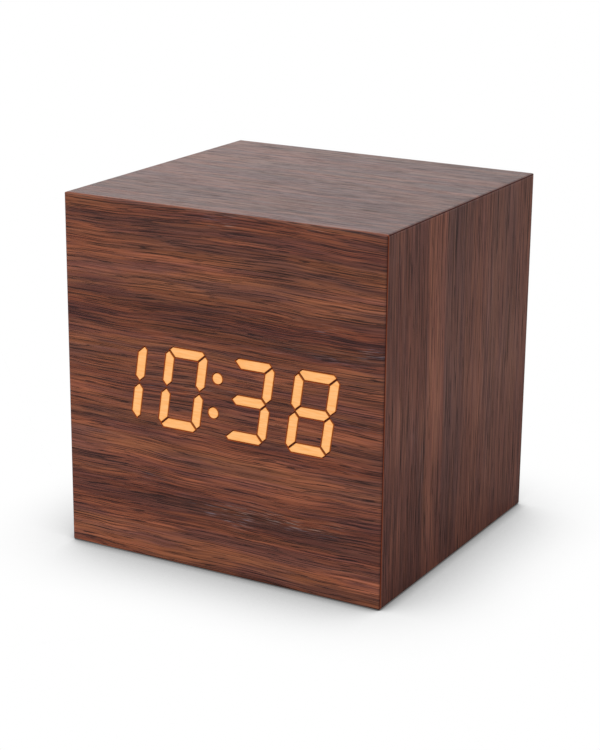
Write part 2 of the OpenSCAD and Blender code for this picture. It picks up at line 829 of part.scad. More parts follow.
module plunger(i) {
    color("#2b2b2b") facing_back(key_x[i], push_y - stem_in, key_z)
        cylinder(d = stem_d, h = stem_in + stem_out);
}

module set_plunger() {
    plunger(0);
}

module up_plunger() {
    plunger(1);
}

module down_plunger() {
    plunger(2);
}

module push_switches() {
    color("#303034") for (i = [0:2]) difference() {
        box([key_x[i] - push_w/2, key_x[i] + push_w/2], [key_board_y, push_y],
            [key_z - push_w/2, key_z + push_w/2]);
        depth = stem_in + key_travel + stem_end_gap;
        facing_back(key_x[i], push_y - depth, key_z) cylinder(d = stem_d + stem_fit, h = depth + over);
    }
}

module sound_switch_body() {
    base_x = switch_travel/2 + knob_base_w/2 + slide_fit;
    base_z = knob_base_h/2 + slide_fit;
    room_y1 = push_y - switch_shell;
    slot_x = switch_travel/2 + knob_w/2 + slide_fit;
    slot_z = knob_w/2 + slide_fit;
    color("#b9bcc0") translate([switch_x, 0, key_z]) difference() {
        box([-switch_w/2, switch_w/2], [key_board_y, push_y], [-switch_h/2, switch_h/2]);
        box([-base_x, base_x], [room_y1 - knob_base_t - 2*slide_fit, room_y1], [-base_z, base_z]);
        box([-slot_x, slot_x], [room_y1 - over/2, push_y + over], [-slot_z, slot_z]);
    }
}

// The knob rests at the left end of its slot, seen from the front
module sound_switch_knob() {
    x = switch_x - switch_travel/2;
    y1 = push_y - switch_shell - slide_fit;
    color("#e8e6e0") {
        box([x - knob_base_w/2, x + knob_base_w/2], [y1 - knob_base_t, y1],
            [key_z - knob_base_h/2, key_z + knob_base_h/2]);
        box([x - knob_w/2, x + knob_w/2], [y1 - knob_base_t/2, cover_y1 + knob_out],
            [key_z - knob_w/2, key_z + knob_w/2]);
    }
}

module key_board() {
    color("#2e5a3c") difference() {
        box([-key_board_x, key_board_x], [key_board_y - pcb_t, key_board_y],
            [key_z - key_board_h/2, key_z + key_board_h/2]);
        for (x = [-1, 1]) facing_back(x*post_x, key_board_y - pcb_t - over, post_z)
            cylinder(d = small_screw_d + 2*hole_fit, h = pcb_t + 2*over);
    }
}

module key_board_screws() {
    color("#8a8c90") for (x = [-1, 1])
        translate([x*post_x, key_board_y - pcb_t - small_head_h, post_z]) rotate([90, 0, 0])
            screw(small_head_h + pcb_t + post_bite, small_head_d, small_head_h, false);
}

// The power inlet

// The inlet's outline stands on the board, with its lower corners cut
module usb_outline(e) {
    w = usb_w/2;
    cut = 0.9;
    polygon([[-w + cut - e, -e], [w - cut + e, -e], [w + e, cut - e/2], [w + e, usb_h + e],
        [-w - e, usb_h + e], [-w - e, cut - e/2]]);
}

module usb_shell() {
    y1 = cover_y1 - usb_recess;
    color("#c9cbcd") translate([0, 0, usb_z]) difference() {
        upright(y1 - usb_len, y1) usb_outline(0);
        upright(y1 - usb_len + usb_back_t, y1 + over) usb_outline(-usb_wall);
    }
}

module usb_tongue() {
    w = 3.7;
    t = 0.65;
    y0 = cover_y1 - usb_recess - usb_len + usb_back_t;
    z1 = usb_z + usb_h - usb_wall - t;
    color("#161616") box([-w/2, w/2], [y0, cover_y1 - usb_recess - 1.2], [z1 - t, z1]);
}

module usb_board() {
    color("#2e5a3c") difference() {
        box([-usb_board_x, usb_board_x], [usb_board_y0, usb_board_y1], [usb_board_z, usb_z]);
        for (x = [-1, 1]) translate([x*usb_screw[0], usb_screw[1], usb_board_z - over])
            cylinder(d = small_screw_d + 2*hole_fit, h = thin_pcb_t + 2*over);
    }
}

module usb_board_screws() {
    color("#8a8c90") for (x = [-1, 1])
        translate([x*usb_screw[0], usb_screw[1], usb_z + small_head_h])
            screw(small_head_h + thin_pcb_t + ledge_bite, small_head_d, small_head_h, false);
}

module red_usb_lead() {
    color("#b0201c") lead([lead_pitch/2, usb_board_y0, usb_board_z + thin_pcb_t/2], lead_start(1, -1), 10);
}

module black_usb_lead() {
    color("#1a1a1c") lead([-lead_pitch/2, usb_board_y0, usb_board_z + thin_pcb_t/2], lead_start(1, 1), 10);
}

module microphone() {
    color("#9a9c9e") facing_back(mic_x, cover_y0 - mic_len, mic_z) difference() {
        cylinder(d = mic_d, h = mic_len);
        translate([0, 0, mic_len - 0.4]) cylinder(d = 1.4, h = over);
    }
}

module mic_leads() {
    color("#6a6a6e") for (s = [-1, 1])
        lead([mic_x + s*lead_pitch/2, cover_y0 - mic_len, mic_z], lead_start(2, -s), 16);
}

// The main board and what is on it

// Puts a part on the back of the main board, its up direction to the back
module on_board(x, z) {
    facing_back(display_x + x, board_y, display_z + z) children();
}

function lead_start(i, s) = [display_x + socket_x, plug_y, display_z + socket_z[i] + s*lead_pitch/2];

module main_board() {
    color("#2e5a3c") difference() {
        box([display_x - main_board_x, display_x + main_board_x], [mask_y, board_y],
            [display_z - main_board_h/2, display_z + main_board_h/2]);
        main_screw_holes(small_screw_d + 2*hole_fit);
    }
}

module main_board_screws() {
    color("#8a8c90") for (x = [-1, 1], z = [-1, 1])
        on_board(x*board_screw[0], z*board_screw[1]) translate([0, 0, small_head_h])
            screw(small_head_h + board_y - skin_y - blind_wood - 0.1, small_head_d, small_head_h, false);
}

module controller_chip() {
    pins = 14;
    color("#17171a") on_board(chip_x, chip_z) {
        translate([-chip_len/2, -chip_w/2, pin_t/3]) cube([chip_len, chip_w, chip_h]);
        for (i = [0:pins - 1], s = [-1, 1]) translate([(i - (pins - 1)/2)*pin_pitch - pin_w/2,
            s*(chip_w/2 + pin_w) - pin_reach/2, 0]) cube([pin_w, pin_reach, pin_t]);
    }
}

module clock_crystal() {
    d = 2;
    len = 6;
    color("#cfd1d3") on_board(crystal_x, chip_z - 0.5) {
        translate([0, len/2, d/2 + 0.1]) rotate([90, 0, 0]) cylinder(d = d, h = len);
        for (x = [-0.5, 0.5]) translate([x - 0.15, len/2 - 0.1, 0]) cube([0.3, 1.6, d/2 + 0.2]);
    }
}

module buzzer() {
    color("#1c1c1f") on_board(buzzer_x, buzzer_z) difference() {
        cylinder(d = buzzer_d, h = buzzer_h);
        translate([0, 0, buzzer_h - 1.5]) cylinder(d = 2, h = 1.5 + over);
    }
}

module capacitor() {
    r = capacitor_r;
    h = capacitor_h;
    color("#2f3f5c") on_board(capacitor_x, capacitor_z) rotate_extrude() polygon([
        [0, 0], [r, 0], [r, 1], [r - 0.2, 1.3], [r, 1.6], [r, h - 0.2], [r - 0.2, h], [0, h]]);
}

module chip_resistors() {
    color("#202022") for (i = [0:3], j = [0:2])
        on_board(resistor_x + i*resistor_step, resistor_z + j*resistor_row)
            translate([-resistor_len/2, -resistor_w/2, 0]) cube([resistor_len, resistor_w, 0.5]);
}

module digit_transistors() {
    color("#1a1a1c") for (i = [0:3]) on_board(transistor_x + i*transistor_step, transistor_z) {
        translate([-transistor_len/2, -transistor_w/2, leg_t/4])
            cube([transistor_len, transistor_w, transistor_h]);
        near = -transistor_w/2 - leg_len + leg_t*3/4;
        far = transistor_w/2 - leg_t*3/4;
        for (leg = [[-leg_spread, near], [leg_spread, near], [0, far]])
            translate([leg[0] - leg_w/2, leg[1], 0]) cube([leg_w, leg_len, leg_t]);
    }
}

module backup_cell() {
    r = coin_r;
    t = coin_t;
    color("#d0d2d4") on_board(coin_x, coin_z) translate([0, 0, 0.3]) rotate_extrude() polygon([
        [0, 0], [r - 0.85, 0], [r - 0.65, 0.3], [r - 0.15, 0.3], [r, 0.5], [r, t - 0.2],
        [r - 0.2, t], [0, t]]);
}

module cell_clip() {
    strap = 0.25;
    top = coin_t + 0.35;
    span = 2*coin_r + 1.5;
    w = clip_w;
    color("#c4c6c8") on_board(coin_x, coin_z) {
        translate([-span/2, -w/2, top]) cube([span, w, strap]);
        for (x = [-span/2, span/2 - strap]) translate([x, -w/2, 0]) cube([strap, w, top + strap]);
    }
}

module lead_sockets() {
    color("#e9e6dc") for (z = socket_z) on_board(socket_x, z) difference() {
        translate([-socket_w/2, -socket_h/2, 0]) cube([socket_w, socket_h, socket_len]);
        translate([-socket_w/2 + socket_wall, -socket_h/2 + socket_wall, 1.5])
            cube([socket_w - 2*socket_wall, socket_h - 2*socket_wall, socket_len]);
    }
}

module lead_plugs() {
    w = socket_w - 2*socket_wall - 2*plug_fit;
    h = socket_h - 2*socket_wall - 2*plug_fit;
    color("#f1eee4") for (z = socket_z) on_board(socket_x, z)
        translate([-w/2, -h/2, 1.6]) cube([w, h, socket_len + plug_out - 1.6]);
}

module ribbon_socket() {
    difference() {
        w = ribbon_w/2 + ribbon_socket_end;
        slot_w = ribbon_w/2 + ribbon_fit;
        slot_t = ribbon_t/2 + ribbon_fit;
        translate([-w, -ribbon_socket_t/2, 0]) cube([2*w, ribbon_socket_t, ribbon_socket_h]);
        translate([-slot_w, -slot_t, ribbon_socket_h - ribbon_dip - ribbon_fit])
            cube([2*slot_w, 2*slot_t, ribbon_socket_h]);
    }
}

module ribbon_sockets() {
    color("#e9e6dc") {
        translate([ribbon_x, board_y, ribbon_main_z]) rotate([-90, 0, 0]) ribbon_socket();
        translate([ribbon_x, key_board_y - pcb_t, ribbon_key_z]) rotate([90, 0, 0]) ribbon_socket();
    }
}

// The ribbon hangs in an easy curve, drawn from the side and given its width
module ribbon_cable() {
    steps = 24;
    a = [key_board_y - pcb_t - ribbon_socket_h, ribbon_key_z];
    b = [board_y + ribbon_socket_h, ribbon_main_z];
    p = [a, a - [ribbon_key_run, 0], b + [ribbon_main_run, 0], b];
    edge = [for (s = [-1, 1], i = [0:steps]) let (
        t = s < 0 ? i/steps : 1 - i/steps, way = bezier_way(p, t))
        bezier(p, t) + s*ribbon_t/2*[way[1], -way[0]]];
    half = steps + 1;
    outline = concat(
        [[a[0] + ribbon_dip, a[1] - ribbon_t/2]], [for (i = [0:half - 1]) edge[i]],
        [[b[0] - ribbon_dip, b[1] - ribbon_t/2], [b[0] - ribbon_dip, b[1] + ribbon_t/2]],
        [for (i = [half:2*half - 1]) edge[i]], [[a[0] + ribbon_dip, a[1] + ribbon_t/2]]);
    color("#9b9da3") translate([ribbon_x - ribbon_w/2, 0, 0]) rotate([90, 0, 90])
        linear_extrude(ribbon_w) polygon(outline);
}

front_veneer();
top_veneer();
bottom_veneer();
left_veneer();
right_veneer();
front_panel();
top_board();
bottom_board();
left_board();
right_board();
corner_blocks();
lit_segments();
dark_segments();
display_mask();
led_chips();
rear_cover();
rear_screws();
battery_door();
battery_cells();
contact_plates();
contact_springs();
red_battery_lead();
black_battery_lead();
set_button();
up_button();
down_button();
set_plunger();
up_plunger();
down_plunger();
push_switches();
sound_switch_body();
sound_switch_knob();
key_board();
key_board_screws();
usb_shell();
usb_tongue();
usb_board();
usb_board_screws();
red_usb_lead();
black_usb_lead();
microphone();
mic_leads();
main_board();
main_board_screws();
controller_chip();
clock_crystal();
buzzer();
capacitor();
chip_resistors();
digit_transistors();
backup_cell();
cell_clip();
lead_sockets();
lead_plugs();
ribbon_sockets();
ribbon_cable();
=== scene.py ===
# %% [markdown]
# # A walnut cube clock, dressed for its photograph
# The solids of the clock come from the CAD source. This lesson gives each of them the finish
# that the real piece has, adds the few forms that are too fine for the source, and sets up
# the light and the camera. All lengths are in metres, in the same frame as the solids.

import bpy
import bmesh
import math
from mathutils import Matrix, Vector


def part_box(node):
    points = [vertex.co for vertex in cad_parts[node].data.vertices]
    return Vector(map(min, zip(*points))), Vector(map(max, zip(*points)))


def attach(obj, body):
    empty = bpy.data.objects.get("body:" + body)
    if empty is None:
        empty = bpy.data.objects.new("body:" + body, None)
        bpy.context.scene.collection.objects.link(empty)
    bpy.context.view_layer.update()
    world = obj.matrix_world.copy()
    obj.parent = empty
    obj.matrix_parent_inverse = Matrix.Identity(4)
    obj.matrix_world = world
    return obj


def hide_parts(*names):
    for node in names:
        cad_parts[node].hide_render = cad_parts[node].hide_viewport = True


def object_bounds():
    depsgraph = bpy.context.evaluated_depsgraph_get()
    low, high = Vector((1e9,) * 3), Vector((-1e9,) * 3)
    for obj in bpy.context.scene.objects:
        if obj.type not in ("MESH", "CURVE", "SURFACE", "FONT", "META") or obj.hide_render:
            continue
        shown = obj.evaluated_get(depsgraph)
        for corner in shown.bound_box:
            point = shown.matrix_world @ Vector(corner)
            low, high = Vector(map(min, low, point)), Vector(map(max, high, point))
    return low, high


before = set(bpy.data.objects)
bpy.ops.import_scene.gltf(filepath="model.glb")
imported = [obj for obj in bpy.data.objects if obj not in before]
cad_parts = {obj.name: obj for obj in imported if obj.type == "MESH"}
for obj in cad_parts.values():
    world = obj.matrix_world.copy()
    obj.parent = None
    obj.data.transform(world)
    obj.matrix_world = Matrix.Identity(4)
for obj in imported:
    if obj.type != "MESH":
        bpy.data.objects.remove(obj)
solid_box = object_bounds()
MM = 0.001
case_size = [round((b - a) / MM, 2) for a, b in zip(*solid_box)]
print("solids:", len(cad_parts), "size in mm:", case_size)

# %% [markdown]
# ## Colours and nodes
# Colours are picked as a screen shows them, while light adds up on a linear scale.
# One function turns a hex value into that scale. A second one adds a node to a material,
# with its settings and with what goes into its sockets. The materials below are all
# written with these two.

# %% Colours and nodes
def linear(hex_colour):
    """The linear colour of an sRGB hex value."""
    parts = [int(hex_colour[i : i + 2], 16) / 255 for i in (1, 3, 5)]
    return [c / 12.92 if c <= 0.04045 else ((c + 0.055) / 1.055) ** 2.4 for c in parts] + [1.0]


def add(tree, kind, sockets={}, stops=(), **settings):
    """Adds a node. A socket takes a value, another node or one of its outputs."""
    node = tree.nodes.new("ShaderNode" + kind)
    for key, value in settings.items():
        setattr(node, key, value)
    for key, value in sockets.items():
        if isinstance(value, bpy.types.Node):
            value = next(output for output in value.outputs if output.enabled)
        if isinstance(value, bpy.types.NodeSocket):
            tree.links.new(value, node.inputs[key])
        else:
            node.inputs[key].default_value = value
    for i, (place, colour) in enumerate(stops):
        # A new colour ramp has two stops already
        elements = node.color_ramp.elements
        if i < 2:
            elements[i].position = place
        element = elements[i] if i < 2 else elements.new(place)
        element.color = linear(colour) if isinstance(colour, str) else colour
    return node


print("walnut brown is", [round(c, 3) for c in linear("#653524")[:3]])

# %% [markdown]
# ## A material to start from
# Every finish starts from the same shader and from the piece's own coordinates in
# millimetres. These stay with a piece when it moves, so a pattern never slides over it,
# and a pattern's size can be written as it is measured on the real thing.

# %% A material to start from
def start(name, **sockets):
    """A new material's nodes, its shader and its coordinates in millimetres."""
    material = bpy.data.materials.new(name)
    material.use_nodes = True
    tree = material.node_tree
    tree.nodes.clear()
    shader = add(tree, "BsdfPrincipled", {k.replace("_", " "): v for k, v in sockets.items()})
    add(tree, "OutputMaterial", {"Surface": shader})
    own = add(tree, "TexCoord").outputs["Object"]
    place = add(tree, "VectorMath", {0: own, "Scale": 1 / MM}, operation="SCALE")
    return tree, shader, place


def dress(name, *nodes):
    """Gives CAD nodes a material."""
    for node in nodes:
        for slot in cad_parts[node].material_slots:
            slot.material = bpy.data.materials[name]


print("one step of a material's coordinates is", MM, "m")

# %% [markdown]
# ## The camera
# The photograph looks at the clock from the front right and a little from above. The
# cube's seven corners that it shows settle where the camera stood and how long its lens
# was. The cube leans by half a degree in the picture, so the camera is rolled by as much.

# %% The camera
view_from, view_above, camera_roll = (math.radians(turn) for turn in (29.38, 17.25, 0.54))
focal_length, camera_distance = 93.12, 0.3297
aimed_at = Vector((3.82, -8.10, 30.0)) * MM
back = Vector((
    math.sin(view_from) * math.cos(view_above),
    -math.cos(view_from) * math.cos(view_above),
    math.sin(view_above),
))
lens = bpy.data.cameras.new("camera")
lens.sensor_fit = "VERTICAL"
lens.sensor_height = 36
lens.lens = focal_length
lens.clip_start, lens.clip_end = 0.01, 20
camera = bpy.data.objects.new("camera", lens)
camera.location = aimed_at + back * camera_distance
camera.rotation_mode = "QUATERNION"
turned = (-back).to_track_quat("-Z", "Y").to_matrix() @ Matrix.Rotation(camera_roll, 3, "Z")
camera.rotation_quaternion = turned.to_quaternion()
bpy.context.collection.objects.link(camera)
bpy.context.scene.camera = camera
bpy.context.scene.view_settings.view_transform = "Standard"
print("the camera is", round(camera.location.length, 3), "m from the origin")

# %% [markdown]
# ## Light
# The clock was photographed in a white studio: a wide soft light stands low at the front
# left, and the white room fills in the rest. So the front is the brightest side and the
# right side gets about half of its light. The world is white where the camera or a shiny
# surface sees it, and dimmer as a light, so that colours render about as they are written.

# %% Light
room_light = 0.62
world = bpy.data.worlds.new("white studio")
bpy.context.scene.world = world
world.use_nodes = True
tree = world.node_tree
tree.nodes.clear()


def seen(tree):
    """1 for what the camera sees, straight or in a shiny or clear surface, else 0."""
    rays = add(tree, "LightPath").outputs
    share = rays["Is Camera Ray"]
    for kind in ("Is Glossy Ray", "Is Transmission Ray"):
        share = add(tree, "Math", {0: share, 1: rays[kind]}, operation="ADD", use_clamp=True)
    return share


strength = add(tree, "MapRange", {"Value": seen(tree), "To Min": room_light, "To Max": 1.0})
sky = add(tree, "Background", {"Color": linear("#ffffff"), "Strength": strength})
add(tree, "OutputWorld", {"Surface": sky})

lamp_distance = 1.2
softbox = bpy.data.lights.new("softbox", "AREA")
softbox.shape = "SQUARE"
softbox.size = 0.5
softbox.energy = 8.0
lamp = bpy.data.objects.new("softbox", softbox)
lamp_way = Vector((-0.52, -0.82, 0.26)).normalized()
lamp.location = lamp_way * lamp_distance
lamp.rotation_mode = "QUATERNION"
lamp.rotation_quaternion = lamp_way.to_track_quat("Z", "Y")
lamp.visible_glossy = False
bpy.context.collection.objects.link(lamp)
print("softbox", softbox.energy, "W at", [round(c, 2) for c in lamp.location])

# %% [markdown]
# ## The floor
# The clock stands on a sheet of white card in a room so full of light that the card burns
# out to white, and only the soft shadow close to the case is left. That shadow is what the
# case hides of the room within about 22 mm of a spot, and a darker line where the two touch.
# It is worked out as just that, so it follows the door when that swings open. The card is
# cut out below the case, so that the underside is lit too when it is looked at from below.
# A side of the case mirrors the card beside it, which lies in its shade, so the mirrored
# card is much darker than the one that the camera sees. The light that the card throws
# back is that of plain white card.

# %% The floor
floor_mesh = bpy.data.meshes.new("floor")
card_size, hole_inset, card_gap = 10.0, 1 * MM, 0.05 * MM
corners = []
for half_x, half_y in (
    (card_size / 2, card_size / 2), (solid_box[1].x - hole_inset, solid_box[1].y - hole_inset)
):
    for x, y in ((-1, -1), (1, -1), (1, 1), (-1, 1)):
        corners.append((x * half_x, y * half_y, 0))
round_hole = [(i, (i + 1) % 4, (i + 1) % 4 + 4, i + 4) for i in range(4)]
floor_mesh.from_pydata(corners, [], round_hole)
floor = bpy.data.objects.new("floor", floor_mesh)
floor.location.z = -card_gap
bpy.context.collection.objects.link(floor)
card = bpy.data.materials.new("white card")
card.use_nodes = True
tree = card.node_tree
tree.nodes.clear()
mirrored_level = 0.17
shown = 1.0
# How far each shadow reaches, how deep it is and how fast it fades: the soft one and the contact
for reach, depth, fade in ((22 * MM, 1.62, 1.6), (2 * MM, 0.35, 1.0)):
    room = add(tree, "AmbientOcclusion", {"Distance": reach}, samples=16).outputs["AO"]
    hidden = add(tree, "Math", {0: 1.0, 1: room}, operation="SUBTRACT")
    hidden = add(tree, "Math", {0: hidden, 1: fade}, operation="POWER")
    shown = add(tree, "Math", {0: hidden, 1: -depth, 2: shown}, operation="MULTIPLY_ADD")
darkest, blend = 0.12, 0.2
shown = add(tree, "Math", {0: shown, 1: darkest, 2: blend}, operation="SMOOTH_MAX")
shiny = add(tree, "LightPath").outputs["Is Glossy Ray"]
level = add(tree, "MapRange", {"Value": shiny, "To Min": 1.0, "To Max": mirrored_level})
level = add(tree, "Math", {0: level, 1: shown}, operation="MULTIPLY")
plain = add(tree, "BsdfDiffuse", {"Color": linear("#dcdcdc")})
white = add(tree, "Emission", {"Color": linear("#ffffff"), "Strength": level})
sheet = add(tree, "MixShader", {0: seen(tree), 1: plain, 2: white})
clear = add(tree, "BsdfTransparent")
under = add(tree, "NewGeometry").outputs["Backfacing"]
add(tree, "OutputMaterial", {"Surface": add(tree, "MixShader", {0: under, 1: sheet, 2: clear})})
floor_mesh.materials.append(card)
print("the card is", card_size, "m wide, with", len(floor_mesh.polygons), "faces")

# %% [markdown]
# ## Walnut colours
# The case is MDF under thin sheets of sliced American walnut with a satin lacquer. Sliced
# walnut shows dark and light bands where the log grew slowly and fast, fine streaks that
# run with them, and open pores. All of it could be painted, but then each side would need
# its own picture. Here it is built up from noises and curves, and each of the next cells
# adds one of these. The colours come first: the browns from light wood to dark, and a paler,
# rosier row of them with the white room's sheen painted in. Then come the painted shadow in
# a pore, a painted glint of the lacquer, and the dark of an edge, which is a stain and, at
# the foot of a side, painted shade. Last come three tints that lie over the brown, the grey
# one partly painted sheen.

# %% Walnut colours
WALNUT = ["#b46d53", "#9e5b40", "#854a33", "#6f3a29", "#5c2d20"]
# A paler, rosier copy of the browns, with the white room's sheen painted in
WALNUT_WITH_PAINTED_SHEEN = ["#ca846b", "#ad6c54", "#8e5341", "#734032", "#5e3025"]
PORE_SHADOW, PAINTED_GLINT, EDGE_STAIN_AND_SHADE = "#2c1411", "#b39388", "#48150d"
COOL, OLIVE, ASH_AND_SHEEN = "#cdd6ff", "#e8f3ec", "#d3e6fa"
print("light walnut is", [round(c, 3) for c in linear(WALNUT[0])[:3]])

# %% [markdown]
# ## Noise that runs with the grain
# A mark in sliced wood is long and narrow, because the knife went along the fibres. A plain
# noise has round marks, like stone, and a wave is too even. So the millimetres along and
# across the grain are divided by the length and the width of the mark, and the noise then
# has marks of that size. Where only its peaks are kept, they stand apart as single marks.
# What changes slowly over a sheet is a curve through a few values instead, because there
# it matters where each one lies.

# %% Noise that runs with the grain
finer_layers = 0.6


def drawn_out(grain, length, width, detail, shift):
    """Noise whose marks are about this long and wide, in mm. Each shift gives another noise."""
    tree, along, across, seed = grain
    spot = add(tree, "CombineXYZ", {"X": along, "Y": across, "Z": seed + shift})
    size = (1 / length, 1 / width, 1)
    spot = add(tree, "VectorMath", {0: spot, 1: size}, operation="MULTIPLY")
    sockets = {"Vector": spot, "Scale": 1.0, "Detail": detail, "Roughness": finer_layers}
    return add(tree, "TexNoise", sockets)


def flecks(grain, length, width, detail, shift, low, high, least=0.0, most=1.0):
    """The same noise as flecks: least where it is below low, and most where it is above high."""
    noise = drawn_out(grain, length, width, detail, shift)
    sockets = {"Value": noise, "From Min": low, "From Max": high, "To Min": least, "To Max": most}
    return add(grain[0], "MapRange", sockets)


def profile(tree, place, stops):
    """A smooth curve through stops of (mm, value)."""
    first, last = stops[0][0], stops[-1][0]
    share = add(tree, "MapRange", {"Value": place, "From Min": first, "From Max": last})
    greys = [((at - first) / (last - first), (value, value, value, 1)) for at, value in stops]
    curve = add(tree, "ValToRGB", {"Fac": share}, greys)
    curve.color_ramp.interpolation = "EASE"
    return curve


print("each finer layer of the noise is", finer_layers, "as strong")

# %% [markdown]
# ## Bands and streaks
# Across the grain the wood turns from light to dark and back, in bands that run the whole
# length of a sheet and wander a little, as the tree's rings did. Even bands could come from
# a wave, but those of a real sheet are all different, so a list of tones gives each its
# place. Two slow noises bend the grain's lines. Streaks are then laid on the bent lines,
# from broad and faint ones to the narrow ones that make most of the figure.

# %% Bands and streaks
# Length, width, shift and the most that a bend moves a line, in mm
BENDS = ((45, 25, 25, 3.2), (12, 7, 7, 0.7))
# Length, width, detail, shift and weight of the streaks. Each sheet gives the last ones' width
STREAKS = ((34, 1.9, 2, 1.3, 0.04), (40, 0.55, 2, 2.7, 0.08), (18, None, 3, 3.1, 0.5))
# Below the first a noise leaves the wood pale, and above the second it is a full streak
NO_STREAK, FULL_STREAK = 0.36, 0.64


def bands(grain, tones, leaf_and_painted_light, drift, stripe, contrast):
    """Returns the bent grain, how dark its bands are, and how dark they are with the streaks."""
    tree, along, across, seed = grain
    for length, width, shift, most in BENDS:
        noise = drawn_out((tree, along, across, seed), length, width, 1, shift)
        bend = add(tree, "Math", {0: noise, 1: 0.5}, operation="SUBTRACT")
        across = add(tree, "Math", {0: bend, 1: most * drift, 2: across}, operation="MULTIPLY_ADD")
    grain = (tree, along, across, seed)
    band = profile(tree, across, tones)
    # The tones across the sheet and along it count as much as each other
    both = add(tree, "Math", {0: band, 1: profile(tree, along, leaf_and_painted_light)}, operation="ADD")
    darkness = add(tree, "Math", {0: both, 1: 0.5}, operation="MULTIPLY")
    for length, width, detail, shift, weight in STREAKS:
        half = weight * contrast / 2
        lengths = (length, width or stripe, detail, shift)
        streak = flecks(grain, *lengths, NO_STREAK, FULL_STREAK, least=-half, most=half)
        darkness = add(tree, "Math", {0: darkness, 1: streak}, operation="ADD")
    return grain, band, darkness


print("the grain wanders by up to", sum(most for *_, most in BENDS) / 2, "mm each way")

# %% [markdown]
# ## Pores
# Walnut's vessels are cut open lengthwise by the knife. They show as hairs of dark shadow,
# about 0.12 mm wide and up to 13 mm long, and more of them lie in the dark bands. Hairs
# could be modelled one by one, but a sheet has thousands. The peaks of a very long and
# narrow noise give them all, and they fade at both ends as real ones do. Where the camera is
# too far away to show 0.12 mm, they are drawn wider than they are, and paler.

# %% Pores
pore_width = 0.12
# Length of the long and of the short pores in widths, shift, and how high the noise has to be
PORES = ((110, 4.9, 0.665), (33, 5.6, 0.685))
# How many more open in dark wood, how soon a pore is at its deepest, and how deep that is. A
# pore that is drawn wide is only as deep as this shade, in mm, spread over its width
more_in_dark, pore_rim, deepest, pore_shade = 0.14, 0.035, 0.85, 0.16


def pores(grain, darkness, hair):
    """How deep in a pore each spot lies. A hair is a pore's width, in mm."""
    tree, pore = grain[0], 0.0
    for slender, shift, limit in PORES:
        limits = {0: darkness, 1: -more_in_dark, 2: limit}
        noise = drawn_out(grain, slender * hair, hair, 1, shift)
        limit = add(tree, "Math", limits, operation="MULTIPLY_ADD")
        depth = add(tree, "Math", {0: noise, 1: limit}, operation="SUBTRACT")
        sockets = {"Value": depth, "From Max": pore_rim, "To Max": min(deepest, pore_shade / hair)}
        dark = add(tree, "MapRange", sockets)
        pore = add(tree, "Math", {0: pore, 1: dark}, operation="MAXIMUM")
    return pore


print("real pores are up to", [round(slender * pore_width, 1) for slender, *_ in PORES], "mm long")

# %% [markdown]
# ## Painted glints
# Satin lacquer sinks into the pores of the dark bands and stands up between them, so it
# catches the light in short pale strokes. They are too fine for a lamp to pick out by
# itself at this size, so they are painted on as highlights: marks 4 mm long and 0.13 mm
# wide, in patches, in the dark bands only.

# %% Glints
def painted_glints(grain, band):
    """How much of a painted glint each spot shows."""
    tree = grain[0]
    stroke = flecks(grain, 4, 0.13, 1, 6.1, 0.58, 0.7, most=0.8)
    patch = flecks(grain, 15, 6, 1, 7.7, 0.55, 0.7)
    in_dark = add(tree, "MapRange", {"Value": band, "From Min": 0.5, "From Max": 0.9})
    share = add(tree, "Math", {0: stroke, 1: patch}, operation="MULTIPLY")
    return add(tree, "Math", {0: share, 1: in_dark}, operation="MULTIPLY")


print("a glint lightens the wood to", PAINTED_GLINT)

# %% [markdown]
# ## Sanded edges
# The sheets meet in sanded mitres, where the stain gathers in the cut fibres, so a thin dark
# line runs down each edge. Along the foot of a side the same dark line is painted shade,
# where the case meets the floor. It could be a strip of its own, but it is part of the
# sheet. The edge is where the surface turns away from the side's own face towards the next
# one, so its normal is compared with that direction. A longer direction counts sooner, and
# makes the line broader.

# %% Sanded edges
edge_starts, edge_full = 0.45, 0.6


def stained_and_shaded_edges(tree, edges):
    """How far each spot faces one of these directions."""
    facing, edge_stain_and_shade = add(tree, "TexCoord").outputs["Normal"], 0.0
    for edge in edges:
        turned = add(tree, "VectorMath", {0: facing, 1: edge}, operation="DOT_PRODUCT")
        sockets = {"Value": turned, "From Min": edge_starts, "From Max": edge_full}
        share = add(tree, "MapRange", sockets)
        edge_stain_and_shade = add(tree, "Math", {0: share, 1: edge_stain_and_shade}, operation="MAXIMUM")
    return edge_stain_and_shade


edge_turn = 90 - math.degrees(math.acos(edge_full))
print("an edge is dark where it has turned by", round(edge_turn), "degrees")

# %% [markdown]
# ## A sheet of walnut
# Here the parts come together. The darkness picks a brown, and the other colours are laid
# over it one after the other. The painted shadow in the pores, the painted glints and the
# dark edges, stained and at the foot painted shade, cover the brown, while the tints
# multiply it, so the grain shows through: some streaks are warm brown, some cooler, some a
# little green, and the right sheet has ashen bands, partly painted sheen, that fade towards
# its foot. The lacquer is satin. It is rougher in a pore, where it sinks in, and dull on a
# sanded edge.

# %% A sheet of walnut
LEVEL = ((-31, 0.5), (62, 0.5))
lacquer_rough, rougher_in_pore, rougher_on_edge = 0.34, 0.3, 0.6
pore_depth = 0.02 * MM


